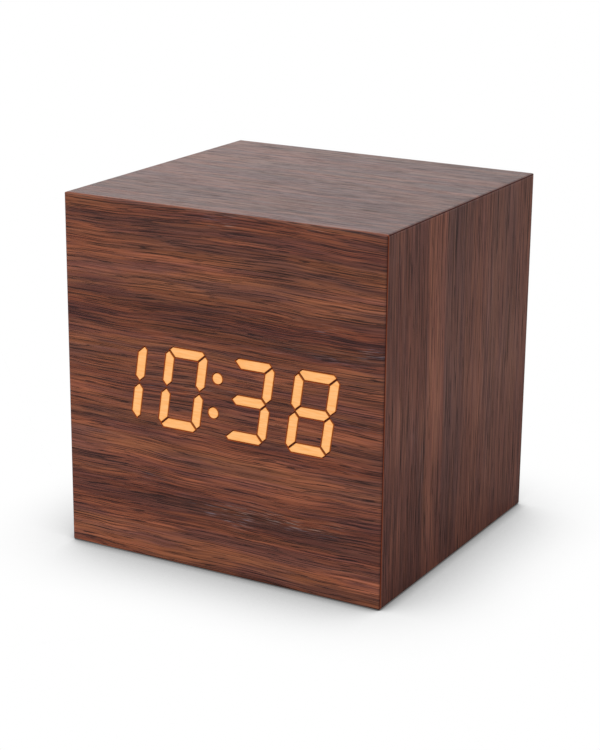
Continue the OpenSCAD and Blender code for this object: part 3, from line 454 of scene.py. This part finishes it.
def walnut(
    side, along, across, seed, tones, browns=WALNUT, leaf_and_painted_light=LEVEL, stripe=0.24, contrast=1.0,
    drift=1.0, tint=1.0, hair=pore_width, ashen_and_sheen=(), edges=()
):
    """Dresses one side's sheet. Its grain runs along one axis. Tones are (mm across the grain,
    darkness), and leaf_and_painted_light is the same along it: the leaf's own tone, with
    painted light and shade. ashen_and_sheen is (mm across the grain, greyness): grey bands of
    the wood, with painted sheen where they fade towards the foot. Stripe and hair are the
    widths of the narrow streaks and the pores, in mm. Contrast, drift and tint are the
    strengths of the streaks, of the bends and of the tints."""
    tree, shader, place = start("walnut veneer, " + side, IOR=1.42)
    axes = add(tree, "SeparateXYZ", {"Vector": place}).outputs
    grain = (tree, axes[along], axes[across], seed)
    grain, band, darkness = bands(grain, tones, leaf_and_painted_light, drift, stripe, contrast)
    steps = [(i / (len(browns) - 1), brown) for i, brown in enumerate(browns)]
    colour = add(tree, "ValToRGB", {"Fac": darkness}, steps)
    pore, edge_stain_and_shade = pores(grain, darkness, hair), stained_and_shaded_edges(tree, edges)
    layers = [
        # Painted shadow in the open pores
        ("MIX", PORE_SHADOW, pore),
        # Painted highlights: the glints of the lacquer
        ("MIX", PAINTED_GLINT, painted_glints(grain, band)),
        ("MULTIPLY", COOL, flecks(grain, 18, 1.6, 3, 8.3, 0.4, 0.6, most=tint)),
        ("MULTIPLY", OLIVE, flecks(grain, 40, 2.2, 3, 9.4, 0.4, 0.6, most=tint)),
    ]
    if ashen_and_sheen:
        # Painted sheen: the grey bands fade out towards the foot of the sheet
        sheen_fade = add(tree, "MapRange", {"Value": axes[along], "From Min": -10, "From Max": 25})
        grey_bands = profile(tree, grain[2], ashen_and_sheen)
        grey_and_sheen = add(tree, "Math", {0: grey_bands, 1: sheen_fade}, operation="MULTIPLY")
        layers.append(("MULTIPLY", ASH_AND_SHEEN, grey_and_sheen))
    # Last come the dark edges: a stain, and along the foot of a side painted shade
    for blend, laid, share in layers + [("MIX", EDGE_STAIN_AND_SHADE, edge_stain_and_shade)]:
        sockets = {"Factor": share, "A": colour, "B": linear(laid)}
        colour = add(tree, "Mix", sockets, data_type="RGBA", blend_type=blend)
    tree.links.new(colour.outputs["Result"], shader.inputs["Base Color"])
    rough = lacquer_rough
    for share, rougher in ((pore, rougher_in_pore), (edge_stain_and_shade, rougher_on_edge)):
        sockets = {0: share, 1: rougher, 2: rough}
        rough = add(tree, "Math", sockets, operation="MULTIPLY_ADD")
    tree.links.new(rough.outputs[0], shader.inputs["Roughness"])
    flat = add(tree, "Math", {0: 1.0, 1: pore}, operation="SUBTRACT")
    bump = add(tree, "Bump", {"Height": flat, "Distance": pore_depth, "Strength": 0.6})
    tree.links.new(bump.outputs[0], shader.inputs["Normal"])
    dress("walnut veneer, " + side, side + "_veneer")
    print(side, "sheet dressed, with", len(tree.nodes), "nodes")
    return tree, shader, colour


# %% [markdown]
# ## The front sheet
# On the front the grain lies level. Its bands are the strongest of the case, pale ones near
# the foot and above the digits and dark ones between, and the heights of these give the
# front its look, so the list of tones is long. A pixel of the picture covers about 0.16 mm
# of the front, so the pores are drawn 0.15 mm wide, a little wider than real ones.

# %% The front sheet
tree, shader, wood = walnut("front", "X", "Z", 11, [
    (0, 0.75), (2, 0.35), (4.5, 0.2), (6.5, 0.5), (8.5, 0.85), (12, 0.9), (14.5, 0.65),
    (16.5, 0.45), (19.5, 0.2), (21.5, 0.35), (23, 0.7), (25.5, 0.45), (28, 0.45), (30, 0.75),
    (33, 0.55), (38, 0.42), (41, 0.85), (44.5, 0.95), (47, 0.58), (49.5, 0.25), (52, 0.42),
    (55, 0.55), (58.5, 0.8), (61.5, 0.7),
], leaf_and_painted_light=[(-31, 0.47), (31, 0.54)], contrast=0.93, hair=0.15, edges=[(0.75, 0, 0), (-1, 0, 0)])

# %% [markdown]
# ## Light in the cuts
# Where the front sheet is cut out for the digits, their light soaks into the cut, so the
# groove round a segment is a deep glowing brown and not black. Small lamps inside would do
# it too, but they make a picture noisy. The sides of a cut don't face forward, so they are
# found by their normal, and the digits' light on them is painted in: a lit brown and a faint
# painted glow.

# %% Light in the cuts
# Painted light: the lit brown and the glow of the digits' light on the cut's sides
painted_cut_light, painted_cut_glow = "#8a4018", "#78340e"
facing = add(tree, "TexCoord").outputs["Normal"]
forward = add(tree, "SeparateXYZ", {"Vector": facing}).outputs["Y"]
cut = add(tree, "MapRange", {"Value": forward, "From Min": -0.5, "From Max": -0.3})
for socket, under, tone in (
    ("Base Color", wood, painted_cut_light), ("Emission Color", linear("#000000"), painted_cut_glow)
):
    sides = {"Factor": cut, "A": under, "B": linear(tone)}
    glow = add(tree, "Mix", sides, data_type="RGBA").outputs["Result"]
    tree.links.new(glow, shader.inputs[socket])
shader.inputs["Emission Strength"].default_value = 1.0
print("the cuts glow in", painted_cut_glow)

# %% [markdown]
# ## The sheets above and below
# The top lies level under the white room and is seen at a low angle, so its bands are faint
# and its streaks narrow. Its paler, rosier browns and its paling towards the left are painted
# light of the white room. The underside is a plain leaf of the same wood. Its edges lie at
# the floor, so they carry no stain.

# %% The sheets above and below
# Painted light: the paler, rosier browns and the paling towards the left
walnut("top", "X", "Y", 23, [
    (-28, 0.4), (-25, 0.42), (-22, 0.53), (-14, 0.62), (-10, 0.53), (-4, 0.5), (0, 0.56),
    (6, 0.42), (9, 0.4), (13, 0.5), (20, 0.56), (24, 0.5), (28, 0.53),
], WALNUT_WITH_PAINTED_SHEEN, [(-30, 0.48), (30, 0.7)], stripe=0.16, contrast=0.33, drift=0.7,
    edges=[(-1, 1, 0)])
walnut("bottom", "X", "Y", 71, [
    (-28, 0.5), (-20, 0.8), (-12, 0.3), (-5, 0.5), (3, 0.85), (10, 0.4), (18, 0.2), (28, 0.7),
], WALNUT_WITH_PAINTED_SHEEN)

# %% [markdown]
# ## The side sheets
# On both sides the grain stands upright. The right side has straight bands, some brown and
# some ashen. The ash is partly painted sheen and fades towards the foot. The sheet is dark
# at its foot, which is painted shade, and pale in the middle. It is seen at a slant, so its
# pores are drawn 0.2 mm wide to show. The left side isn't seen from the front: it is a leaf
# of the same wood with livelier bands. Both are stained along the edge at the rear and along
# the top, and the dark line along the foot is painted shade where the case meets the floor.

# %% The side sheets
# The last direction, the foot, gives painted shade where the case meets the floor
side_edges = [(0, 0.75, 0), (0, 0, 1.5), (0, 0, -1)]
# Painted shade: the sheet darkens towards its foot
walnut("right", "Z", "Y", 37, [
    (-28, 0.66), (-20, 0.62), (-16.5, 0.74), (-13.3, 0.7), (-12.9, 0.4), (-9.5, 0.38),
    (-7, 0.44), (-6.4, 0.52), (-1, 0.53), (2, 0.48), (8.5, 0.43), (11, 0.4), (17, 0.43),
    (19.5, 0.44), (24, 0.45), (28, 0.55),
], WALNUT_WITH_PAINTED_SHEEN, [(0, 0.84), (14, 0.56), (32, 0.22), (46, 0.33), (61.5, 0.4)], stripe=0.26,
    contrast=0.8, drift=0.35, tint=0.4, hair=0.2, ashen_and_sheen=[
        (-28, 0.5), (-13.3, 0.5), (-12.9, 0.15), (-7, 0.2), (-6.4, 1.0), (-1, 0.95), (2, 0.6),
        (7, 0.45), (10.5, 0.75), (20, 0.75), (28, 0.5),
    ], edges=side_edges)
walnut("left", "Z", "Y", 53, [
    (-28, 0.6), (-22, 0.3), (-17, 0.2), (-13, 0.7), (-8, 0.85), (-4, 0.4), (2, 0.25),
    (6, 0.6), (11, 0.9), (15, 0.5), (20, 0.3), (24, 0.7), (28, 0.5),
], leaf_and_painted_light=[(0, 0.4), (30, 0.6), (61.5, 0.4)], stripe=0.25, contrast=0.8, drift=0.6,
    edges=side_edges)

# %% [markdown]
# ## The lit digits
# Each lit segment is a bar of milky epoxy that fills its well and shows flush in the
# veneer, with a light emitting chip behind it. The resin spreads the light, so a segment
# looks evenly amber, with only a faint mottle of the filler. Its face glows, just under
# white and varied by a soft noise. Its sides, which show in the groove round it, glow a dim
# brown instead, painted shade of the groove, so every segment keeps its dark outline.

# %% The lit digits
tree, shader, place = start("lit epoxy", Roughness=0.5, IOR=1.5)
shader.inputs["Base Color"].default_value = linear("#4a2a18")
# The clouds of the filler are about 3 mm long and 0.3 mm high
spot = add(tree, "VectorMath", {0: place, 1: (0.35, 1.0, 3.2)}, operation="MULTIPLY")
cloud = add(tree, "TexNoise", {"Vector": spot, "Scale": 1.0, "Detail": 3.0})
# The middle of a bar is the palest: a bevelled normal leans away near the rim of the face
rim = add(tree, "Bevel", {"Radius": 0.45 * MM}, samples=6)
flat = add(tree, "NewGeometry").outputs["True Normal"]
level = add(tree, "VectorMath", {0: rim, 1: flat}, operation="DOT_PRODUCT").outputs["Value"]
depth = add(tree, "MapRange", {"Value": level, "From Min": 0.85, "To Min": -0.12, "To Max": 0.1})
depth = add(tree, "Math", {0: depth, 1: cloud.outputs["Fac"]}, operation="ADD")
glow = add(tree, "ValToRGB", {"Fac": depth}, [(0.3, "#f6a756"), (0.7, "#fdbf7c")])
facing = add(tree, "TexCoord").outputs["Normal"]
forward = add(tree, "SeparateXYZ", {"Vector": facing}).outputs["Y"]
# Painted shade of the groove: the sides glow a dim brown
sideways = add(tree, "MapRange", {"Value": forward, "From Min": -0.9, "From Max": -0.5})
sides = {"Factor": sideways, "A": glow, "B": linear("#8c4418")}
lit = add(tree, "Mix", sides, data_type="RGBA")
tree.links.new(lit.outputs["Result"], shader.inputs["Emission Color"])
shader.inputs["Emission Strength"].default_value = 0.95
dress("lit epoxy", "lit_segments")
print("lit segments dressed")

# %% [markdown]
# ## Mottled finishes
# Most other pieces are moulded, pressed or sawn, and their surface is one colour with a
# fine mottle: the spark grain of a mould, the fibres of a board or the rolling marks of a
# sheet. So one function makes them all from a noise whose marks have a real size, and it
# varies the colour, the roughness and the height together, as wear and grain do. Nearly
# all of a noise lies a little way in from 0 and 1, so its tones are spread over that part.

# %% Mottled finishes
tones_from, tones_to = 0.28, 0.72


def mottled(name, tones, width, height, rough, drawn=(1, 1, 1), **sockets):
    """Tones and roughness follow a noise. Its marks have this width and height in mm, and drawn
    stretches them along X, Y or Z."""
    tree, shader, place = start(name, **sockets)
    size = [1 / (width * stretch) for stretch in drawn]
    spot = add(tree, "VectorMath", {0: place, 1: size}, operation="MULTIPLY")
    noise = add(tree, "TexNoise", {"Vector": spot, "Scale": 1.0, "Detail": 2.0}).outputs["Fac"]
    step = (tones_to - tones_from) / (len(tones) - 1)
    steps = [(tones_from + step * i, tone) for i, tone in enumerate(tones)]
    colour = add(tree, "ValToRGB", {"Fac": noise}, steps)
    tree.links.new(colour.outputs["Color"], shader.inputs["Base Color"])
    limits = {"From Min": 0.3, "From Max": 0.7, "To Min": rough[0], "To Max": rough[1]}
    roughness = add(tree, "MapRange", {"Value": noise, **limits})
    tree.links.new(roughness.outputs[0], shader.inputs["Roughness"])
    bump = add(tree, "Bump", {"Height": noise, "Distance": height * MM, "Strength": 0.8})
    tree.links.new(bump.outputs[0], shader.inputs["Normal"])
    return tree, shader, place, colour


print("tones are spread over the noise from", tones_from, "to", tones_to)

# %% [markdown]
# ## MDF and wood blocks
# The boards under the veneer are MDF: wood fibres pressed to a board, so it has no grain,
# only pale and dark fibres. They are drawn 0.4 mm long and 0.25 mm wide, coarser than they
# are, so that they show. The MDF is seen as a bare rim round the rear cover.
# The blocks that take the rear screws are pine, with a growth ring every 4 mm or so. A wave
# with a little noise gives these rings, because they are more even than walnut's.

# %% MDF and wood blocks
mottled(
    "MDF, sawn", ["#b28f67", "#c3a177", "#d2b38c"], 0.25, 0.02, (0.75, 0.95), drawn=(1.6, 1, 1)
)
dress("MDF, sawn", "front_panel", "top_board", "bottom_board", "left_board", "right_board")
tree, shader, place, colour = mottled(
    "pine, sawn", ["#d9b785", "#c9a06a"], 0.3, 0.02, (0.6, 0.75), drawn=(1, 12, 1)
)
rings = add(
    tree, "TexWave", {"Vector": place, "Scale": 0.08, "Distortion": 1.5, "Detail": 2.0},
    bands_direction="Z",
)
late = add(tree, "MapRange", {"Value": rings.outputs["Fac"], "From Min": 0.6, "To Max": 0.7})
late_wood = {"Factor": late, "A": colour, "B": linear("#9c6b3a")}
ringed = add(tree, "Mix", late_wood, data_type="RGBA")
tree.links.new(ringed.outputs["Result"], shader.inputs["Base Color"])
dress("pine, sawn", "corner_blocks")
print("boards and blocks dressed")

# %% [markdown]
# ## Moulded plastics
# The rear cover and the door are black ABS from a spark eroded mould, which leaves an even
# grain that scatters the light to a soft grey sheen. The real grain is about 0.1 mm wide,
# and it is drawn 0.25 mm wide so that it shows. The caps are smoother. The mask behind the
# veneer is matt black, and its front face is red brown. The switch bodies, the buzzer and
# the chips are black moulding resin, a little grey with filler. The knob, the connectors and
# their plugs are natural nylon: off white and slightly clear. The unlit segments are milky
# epoxy like the lit ones, the chips behind them carry a yellow phosphor gel, and the
# capacitor has a blue PVC sleeve. One mottled finish each is enough, because only the tone,
# the grain and the gloss tell them apart.

# %% Moulded plastics
mottled("ABS, spark grain", ["#1a1a1d", "#252529", "#323237"], 0.25, 0.02, (0.42, 0.62), IOR=1.53)
dress("ABS, spark grain", "rear_cover", "battery_door")
mottled("ABS, smooth", ["#2a2a2d", "#34343a"], 0.4, 0.006, (0.28, 0.42), IOR=1.53)
dress("ABS, smooth", "set_button", "up_button", "down_button")
tree, shader, place, black = mottled(
    "mask, matt black", ["#101012", "#1c1c1e"], 0.15, 0.012, (0.7, 0.9), IOR=1.5
)
depth = add(tree, "SeparateXYZ", {"Vector": place}).outputs["Y"]
front_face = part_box("display_mask")[0].y / MM
# The mask's front face is red brown
red_brown_face = add(tree, "Math", {0: depth, 1: front_face, 2: 0.02}, operation="COMPARE")
face_tones = {"Factor": red_brown_face, "A": black, "B": linear("#5a2413")}
face = add(tree, "Mix", face_tones, data_type="RGBA")
tree.links.new(face.outputs["Result"], shader.inputs["Base Color"])
dress("mask, matt black", "display_mask")
mottled("moulding resin", ["#141416", "#202023"], 0.08, 0.008, (0.45, 0.65), IOR=1.55)
dress(
    "moulding resin", "set_plunger", "up_plunger", "down_plunger", "push_switches", "buzzer",
    "controller_chip", "chip_resistors", "digit_transistors", "usb_tongue",
)
mottled(
    "nylon, natural", ["#d8d3c4", "#ece8dc"], 0.6, 0.006, (0.35, 0.5), IOR=1.53,
    Subsurface_Weight=0.15, Subsurface_Scale=0.001,
)
dress("nylon, natural", "sound_switch_knob", "lead_sockets", "lead_plugs", "ribbon_sockets")
mottled("epoxy, unlit", ["#bdb5a4", "#d2cbbc"], 0.5, 0.01, (0.5, 0.65), IOR=1.52)
dress("epoxy, unlit", "dark_segments")
mottled("phosphor gel", ["#d9b93c", "#f0dc7c"], 0.2, 0.01, (0.35, 0.5), IOR=1.45)
dress("phosphor gel", "led_chips")
mottled("PVC sleeve, blue", ["#22304e", "#2f4068"], 0.9, 0.006, (0.25, 0.35), IOR=1.5)
dress("PVC sleeve, blue", "capacitor")
print("plastics dressed")

# %% [markdown]
# ## Metals
# The screws are cold headed steel with a dull zinc coat, and show the fine swirl that
# tumbling leaves. The battery contacts are nickel plated spring steel: bright and slightly
# yellow, with rolling marks along the strip. The inlet's shell and the switch's can are
# tinned steel, which is whiter and softer. A metal takes all of its colour from what it
# mirrors, so the marks change its roughness more than its tone. They are drawn 0.3 to
# 0.8 mm wide, coarser than they are, so that they show.

# %% Metals
mottled(
    "steel, zinc plated", ["#8e9094", "#b4b6ba"], 0.5, 0.004, (0.28, 0.5), drawn=(1, 0.4, 1),
    Metallic=1.0,
)
dress(
    "steel, zinc plated", "rear_screws", "key_board_screws", "usb_board_screws",
    "main_board_screws",
)
mottled(
    "spring steel, nickel plated", ["#b3ab9e", "#cfc8bc"], 0.3, 0.003, (0.2, 0.36),
    drawn=(1, 1, 12), Metallic=1.0,
)
dress("spring steel, nickel plated", "contact_plates", "cell_clip")
mottled(
    "steel, tinned", ["#a9aaac", "#c6c7c9"], 0.8, 0.004, (0.25, 0.42), drawn=(1, 6, 1),
    Metallic=1.0,
)
dress(
    "steel, tinned", "sound_switch_body", "usb_shell", "clock_crystal", "backup_cell", "microphone"
)
print("metals dressed")

# %% [markdown]
# ## Insulated wire
# The leads are stranded wire in soft PVC, red for plus and black for minus, and the flat
# cable and the sound sensor's leads are grey. The source has each of them as a tube on its
# own route, so they only need their finish. Drawn PVC is glossy, with faint waves every
# millimetre or so.

# %% Insulated wire
mottled("PVC, red", ["#a5170f", "#c02a20"], 1.2, 0.01, (0.3, 0.4), IOR=1.53)
dress("PVC, red", "red_battery_lead", "red_usb_lead")
mottled("PVC, black", ["#141414", "#222223"], 1.2, 0.01, (0.3, 0.4), IOR=1.53)
dress("PVC, black", "black_battery_lead", "black_usb_lead")
mottled("PVC, grey", ["#6c6d70", "#84858a"], 1.2, 0.01, (0.35, 0.45), IOR=1.53)
dress("PVC, grey", "mic_leads", "ribbon_cable")
print("wires dressed")

# %% [markdown]
# ## Circuit boards
# The boards are glass epoxy under green solder mask. Copper tracks 0.3 mm wide lie under
# the mask and show as paler lines, with tinned holes here and there. They are only a few
# hundredths of a millimetre high, so they are colour and not shape: a brick pattern on the
# board's own millimetres gives the tracks, and small round cells give the holes.

# %% Circuit boards
tree, shader, place, mask = mottled(
    "glass epoxy, green mask", ["#15502f", "#1c5f39"], 0.5, 0.004, (0.25, 0.35), IOR=1.5
)
flat = add(tree, "SeparateXYZ", {"Vector": place}).outputs
lying = add(tree, "Math", {0: flat["Y"], 1: flat["Z"]}, operation="ADD")
plan = add(tree, "CombineXYZ", {"X": flat["X"], "Y": lying})
tracks = add(tree, "TexBrick", {
    "Vector": plan, "Scale": 1.0, "Mortar Size": 0.16, "Brick Width": 7.62, "Row Height": 1.27,
    "Mortar Smooth": 0.1,
})
holes = add(tree, "TexVoronoi", {"Vector": plan, "Scale": 0.28, "Randomness": 0.8})
rim = {"From Min": 0.1, "From Max": 0.12, "To Min": 1.0, "To Max": 0.0}
tin = add(tree, "MapRange", {"Value": holes.outputs["Distance"], **rim})
board = mask
for share, tone in ((tracks.outputs["Fac"], "#2c7a4c"), (tin, "#b9bab8")):
    sockets = {"Factor": share, "A": board, "B": linear(tone)}
    board = add(tree, "Mix", sockets, data_type="RGBA")
tree.links.new(board.outputs["Result"], shader.inputs["Base Color"])
tree.links.new(tin.outputs[0], shader.inputs["Metallic"])
dress("glass epoxy, green mask", "main_board", "key_board", "usb_board")
print("boards dressed")

# %% [markdown]
# ## Battery cells
# A cell is a steel can in a printed plastic sleeve, bare only at its two ends. The sleeve
# here is plain slate blue with a copper band at the plus end and a plus and a minus sign,
# which is all that such a cell needs to say. The colours follow the place along the cell,
# so the middle cell, which lies the other way round, is turned over in the pattern too.

# %% Battery cells
# As in the source, in mm: a cell's length, the way to the next cell, and the way along X from
# the case's middle to a cell's own
cell_len, cell_pitch, cell_shift = 44.5, 10.9, 1.25
cell_low, cell_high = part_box("battery_cells")
middle_z = (cell_low.z + cell_high.z) / 2 / MM
middle_y = (cell_low.y + cell_high.y) / 2 / MM
tree, shader, place = start("steel can, printed sleeve", Roughness=0.3, IOR=1.5)
own = add(tree, "SeparateXYZ", {"Vector": place}).outputs
is_middle = add(tree, "Math", {0: own["Z"], 1: middle_z, 2: cell_pitch / 2}, operation="COMPARE")
turn = add(tree, "Math", {0: is_middle, 1: -2.0, 2: 1.0}, operation="MULTIPLY_ADD")
along = add(tree, "Math", {0: own["X"], 1: turn, 2: -cell_shift}, operation="MULTIPLY_ADD")
half_len = cell_len / 2
share = add(tree, "MapRange", {"Value": along, "From Min": -half_len, "From Max": half_len})
# Each part of a cell: the share of its length where it starts, its colour, and how much of
# the steel shines through
PARTS = (
    (0.0, "#b9babc", 1.0), (0.018, "#263c4f", 0.3), (0.735, "#d9dadb", 0.3),
    (0.75, "#b3703c", 0.75), (0.962, "#b9babc", 1.0),
)
sleeve = add(tree, "ValToRGB", {"Fac": share}, [(at, tone) for at, tone, _ in PARTS])
bare = add(tree, "ValToRGB", {"Fac": share}, [(at, (m, m, m, 1)) for at, _, m in PARTS])
for ramp in (sleeve, bare):
    ramp.color_ramp.interpolation = "CONSTANT"
tree.links.new(bare.outputs["Color"], shader.inputs["Metallic"])

# %% [markdown]
# ## The signs on the cells
# The plus and the minus are printed on the sleeve in white, on the side that shows when the
# door is open. A sign is made of bars, and a bar is where a spot is close enough to the
# bar's middle in both directions, so no picture is needed.

# %% The signs on the cells
low = add(tree, "Math", {0: own["Z"], 1: middle_z}, operation="SUBTRACT")
up = add(tree, "Math", {0: low, 1: cell_pitch / 2, 2: -cell_pitch / 2}, operation="WRAP")
rear = add(tree, "Math", {0: own["Y"], 1: middle_y}, operation="GREATER_THAN")
colour = sleeve
# A bar's middle along the cell, and half its length and half its height, in mm
for middle, half_length, half_height in ((15.5, 1.3, 0.28), (15.5, 0.28, 1.3), (-18.0, 0.28, 1.3)):
    level = add(tree, "Math", {0: along, 1: middle, 2: half_length}, operation="COMPARE")
    height = add(tree, "Math", {0: up, 1: 0.0, 2: half_height}, operation="COMPARE")
    bar = add(tree, "Math", {0: level, 1: height}, operation="MULTIPLY")
    bar = add(tree, "Math", {0: bar, 1: rear}, operation="MULTIPLY")
    printed = {"Factor": bar, "A": colour, "B": linear("#e8e8e6")}
    colour = add(tree, "Mix", printed, data_type="RGBA")
tree.links.new(colour.outputs["Result"], shader.inputs["Base Color"])
# The sleeve is shrunk on, so it is a little wavy along the cell
film = add(tree, "VectorMath", {0: place, 1: (0.3, 2.5, 2.5)}, operation="MULTIPLY")
waves = add(tree, "TexNoise", {"Vector": film, "Scale": 1.0, "Detail": 2.0})
bump = add(tree, "Bump", {"Height": waves, "Distance": 0.01 * MM, "Strength": 0.5})
tree.links.new(bump.outputs[0], shader.inputs["Normal"])
dress("steel can, printed sleeve", "battery_cells")
print("cells dressed, the middle one at z", round(middle_z, 2), "mm")

# %% [markdown]
# ## New pieces
# A few forms are too fine for the source, and are made here. A new piece is a mesh in the
# clock's own frame. It rides with one of its bodies and says which of the record's
# materials it is made of, so one function does this for all of them.

# %% New pieces
def piece(name, mesh, body, material, smooth=False):
    """A new object that moves with a body."""
    made = bpy.data.objects.new(name, mesh)
    bpy.context.collection.objects.link(made)
    mesh.materials.append(bpy.data.materials[material])
    if smooth:
        mesh.shade_smooth()
    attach(made, body)
    print(name, "rides on", body, "with", len(mesh.polygons), "faces")
    return made


# %% [markdown]
# ## Contact springs
# Each cell's flat end presses on a conical coil of 0.5 mm nickel plated wire. The source
# keeps it as a plain hollow cone. A real coil has a flat turn at its base, where it is
# spot welded to the contact plate, about three rising turns and a flat turn at the tip. Its
# height and its outer size at both ends are the cone's. A curve with a round bevel would
# make the wire too. Here it is built as a mesh, so that its size, its flat ends and its
# number of faces are exact: a ring of points at each step of the way, and faces from ring
# to ring.

# %% A round wire
def wire(points, radius, sides=10):
    """The faces of a round wire along these points, closed at both ends."""
    rings, faces = [], []
    way = (points[1] - points[0]).normalized()
    out = way.orthogonal().normalized()
    for i, point in enumerate(points):
        way = (points[min(i + 1, len(points) - 1)] - points[max(i - 1, 0)]).normalized()
        out = (out - way * out.dot(way)).normalized()
        up = way.cross(out)
        for k in range(sides):
            a = math.tau * k / sides
            rings.append(point + radius * (out * math.cos(a) + up * math.sin(a)))
    for i in range(len(points) - 1):
        for k in range(sides):
            a, b = i * sides + k, i * sides + (k + 1) % sides
            faces.append((a, b, b + sides, a + sides))
    last = (len(points) - 1) * sides
    faces.append(tuple(reversed(range(sides))))
    faces.append(tuple(range(last, last + sides)))
    return rings, faces


# %% Contact springs
# In mm, as the source's cone: its length, and its radius at the base and at the tip
spring_len, wire_r = 3.0, 0.25
base_r, tip_r = 3.4 - wire_r, 1.6 - wire_r
flat_turn, rising_turns = 0.9, 2.6
turns = 2 * flat_turn + rising_turns
steps_per_turn = 28
plates_low, plates_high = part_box("contact_springs")
verts, faces = [], []
for i, cell_way in enumerate((1, -1, 1)):
    end = plates_high.x if cell_way < 0 else plates_low.x
    middle = Vector((end, middle_y * MM, (middle_z + (i - 1) * cell_pitch) * MM))
    path = []
    for k in range(int(turns * steps_per_turn) + 1):
        t = k / steps_per_turn
        rise = min(max((t - flat_turn) / rising_turns, 0), 1)
        # Half eased, so that the flat turns run smoothly into the rising ones
        rise = rise * rise * (3 - 2 * rise) * 0.5 + rise * 0.5
        r = base_r + (tip_r - base_r) * t / turns
        height = wire_r + rise * (spring_len - 2 * wire_r)
        a = math.tau * t
        path.append(middle + MM * Vector((cell_way * height, r * math.cos(a), r * math.sin(a))))
    more_verts, more_faces = wire(path, wire_r * MM)
    faces += [tuple(f + len(verts) for f in face) for face in more_faces]
    verts += more_verts
coil_mesh = bpy.data.meshes.new("contact_coils")
coil_mesh.from_pydata(verts, [], faces)
coils = piece(
    "contact_coils", coil_mesh, "case", "spring steel, nickel plated", smooth=True
)
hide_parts("contact_springs")
print("a coil has", turns, "turns of wire")

# %% [markdown]
# ## Inlet contacts
# Five flat contacts lie on the underside of the inlet's tongue, stamped from sheet and gold
# plated. Each tapers at its inner end, where the plug comes over it. They are flat, so each
# is an outline that is raised to a plate. The arrows by the keys are made in the same way.

# %% Flat plates
def plates(name, outlines, low, high):
    """A mesh of flat plates with these outlines of (x, y), between two heights."""
    made = bmesh.new()
    for outline in outlines:
        face = made.faces.new([made.verts.new((x, y, low)) for x, y in outline])
        raised = bmesh.ops.extrude_face_region(made, geom=[face])["geom"]
        points = [point for point in raised if isinstance(point, bmesh.types.BMVert)]
        bmesh.ops.translate(made, verts=points, vec=(0, 0, high - low))
    bmesh.ops.recalc_face_normals(made, faces=made.faces)
    mesh = bpy.data.meshes.new(name)
    made.to_mesh(mesh)
    made.free()
    return mesh


# %% Inlet contacts
mottled(
    "gold plate", ["#c9a04a", "#e0bd6c"], 0.2, 0.002, (0.2, 0.35), drawn=(1, 6, 1), Metallic=1.0
)
tongue_low, tongue_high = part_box("usb_tongue")
# How far the contacts are apart and how wide they are, how far they stay from the tongue's
# two ends, how far they stand proud of it and how deep they are let in
contact_pitch, half, rear_end, inner_end, proud, let_in = (
    size * MM for size in (0.65, 0.15, 0.1, 0.3, 0.06, 0.02)
)
y0, y1 = tongue_low.y + rear_end, tongue_high.y - inner_end
strip = [
    (-half, y0), (half, y0), (half, y1 - half), (half / 2, y1), (-half / 2, y1), (-half, y1 - half)
]
strips = [[(i * contact_pitch + x, y) for x, y in strip] for i in range(-2, 3)]
contact_mesh = plates("inlet_contacts", strips, tongue_low.z - proud, tongue_low.z + let_in)
piece("inlet_contacts", contact_mesh, "case", "gold plate")

# %% [markdown]
# ## Marks by the keys
# Plain marks are pad printed in pale grey beside the keys: SET, an arrow up, an arrow down,
# and ON and OFF by the sound switch. They could be painted in the cover's material, but pad
# printing leaves a film of ink with a crisp edge, so each mark is a very thin solid that
# stands just proud of the cover. The places along X are in mm, and the words are turned
# so that they read from behind.

# %% Marks by the keys
mottled("printing ink, pale grey", ["#b9babb", "#cfd0d0"], 0.3, 0.003, (0.45, 0.6), IOR=1.5)
cover_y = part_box("rear_cover")[1].y
ink = 0.02 * MM
# A capital letter is about 0.7 of the size of its font
mark_h, mark_z, font_share = 1.4, 55.95, 1.4


def mark(name, mesh, x, z):
    """Places a flat mark, drawn about its own middle, on the cover, to be read from behind."""
    upright = Matrix.Rotation(math.pi, 4, "Z") @ Matrix.Rotation(math.pi / 2, 4, "X")
    mesh.transform(Matrix.Translation((x * MM, cover_y + ink / 2, z * MM)) @ upright)
    piece(name, mesh, "case", "printing ink, pale grey")


for name, words, x in (
    ("mark_set", "SET", -3.2), ("mark_on", "ON", -9.3), ("mark_off", "OFF", -13.3)
):
    curve = bpy.data.curves.new(name, "FONT")
    curve.body = words
    curve.size = mark_h * font_share * MM
    curve.extrude = ink
    curve.align_x, curve.align_y = "CENTER", "CENTER"
    text = bpy.data.objects.new(name + "_text", curve)
    bpy.context.collection.objects.link(text)
    bpy.context.view_layer.update()
    depsgraph = bpy.context.evaluated_depsgraph_get()
    mesh = bpy.data.meshes.new_from_object(text.evaluated_get(depsgraph))
    bpy.data.objects.remove(text)
    mark(name, mesh, x, mark_z)

half = mark_h / 2 * MM
half_base = half * 1.15
for name, x, way in (("mark_up", 4.0, 1), ("mark_down", 11.2, -1)):
    arrow = [(-half_base, -half * way), (half_base, -half * way), (0, half * way)]
    mark(name, plates(name, [arrow], -ink, ink), x, mark_z)
print("marks printed on the cover at y", round(cover_y / MM, 2), "mm")

# %% [markdown]
# ## The last lines
# The view layer is updated once more, so that every dressed piece stands in place.

# %% The last lines
bpy.context.view_layer.update()
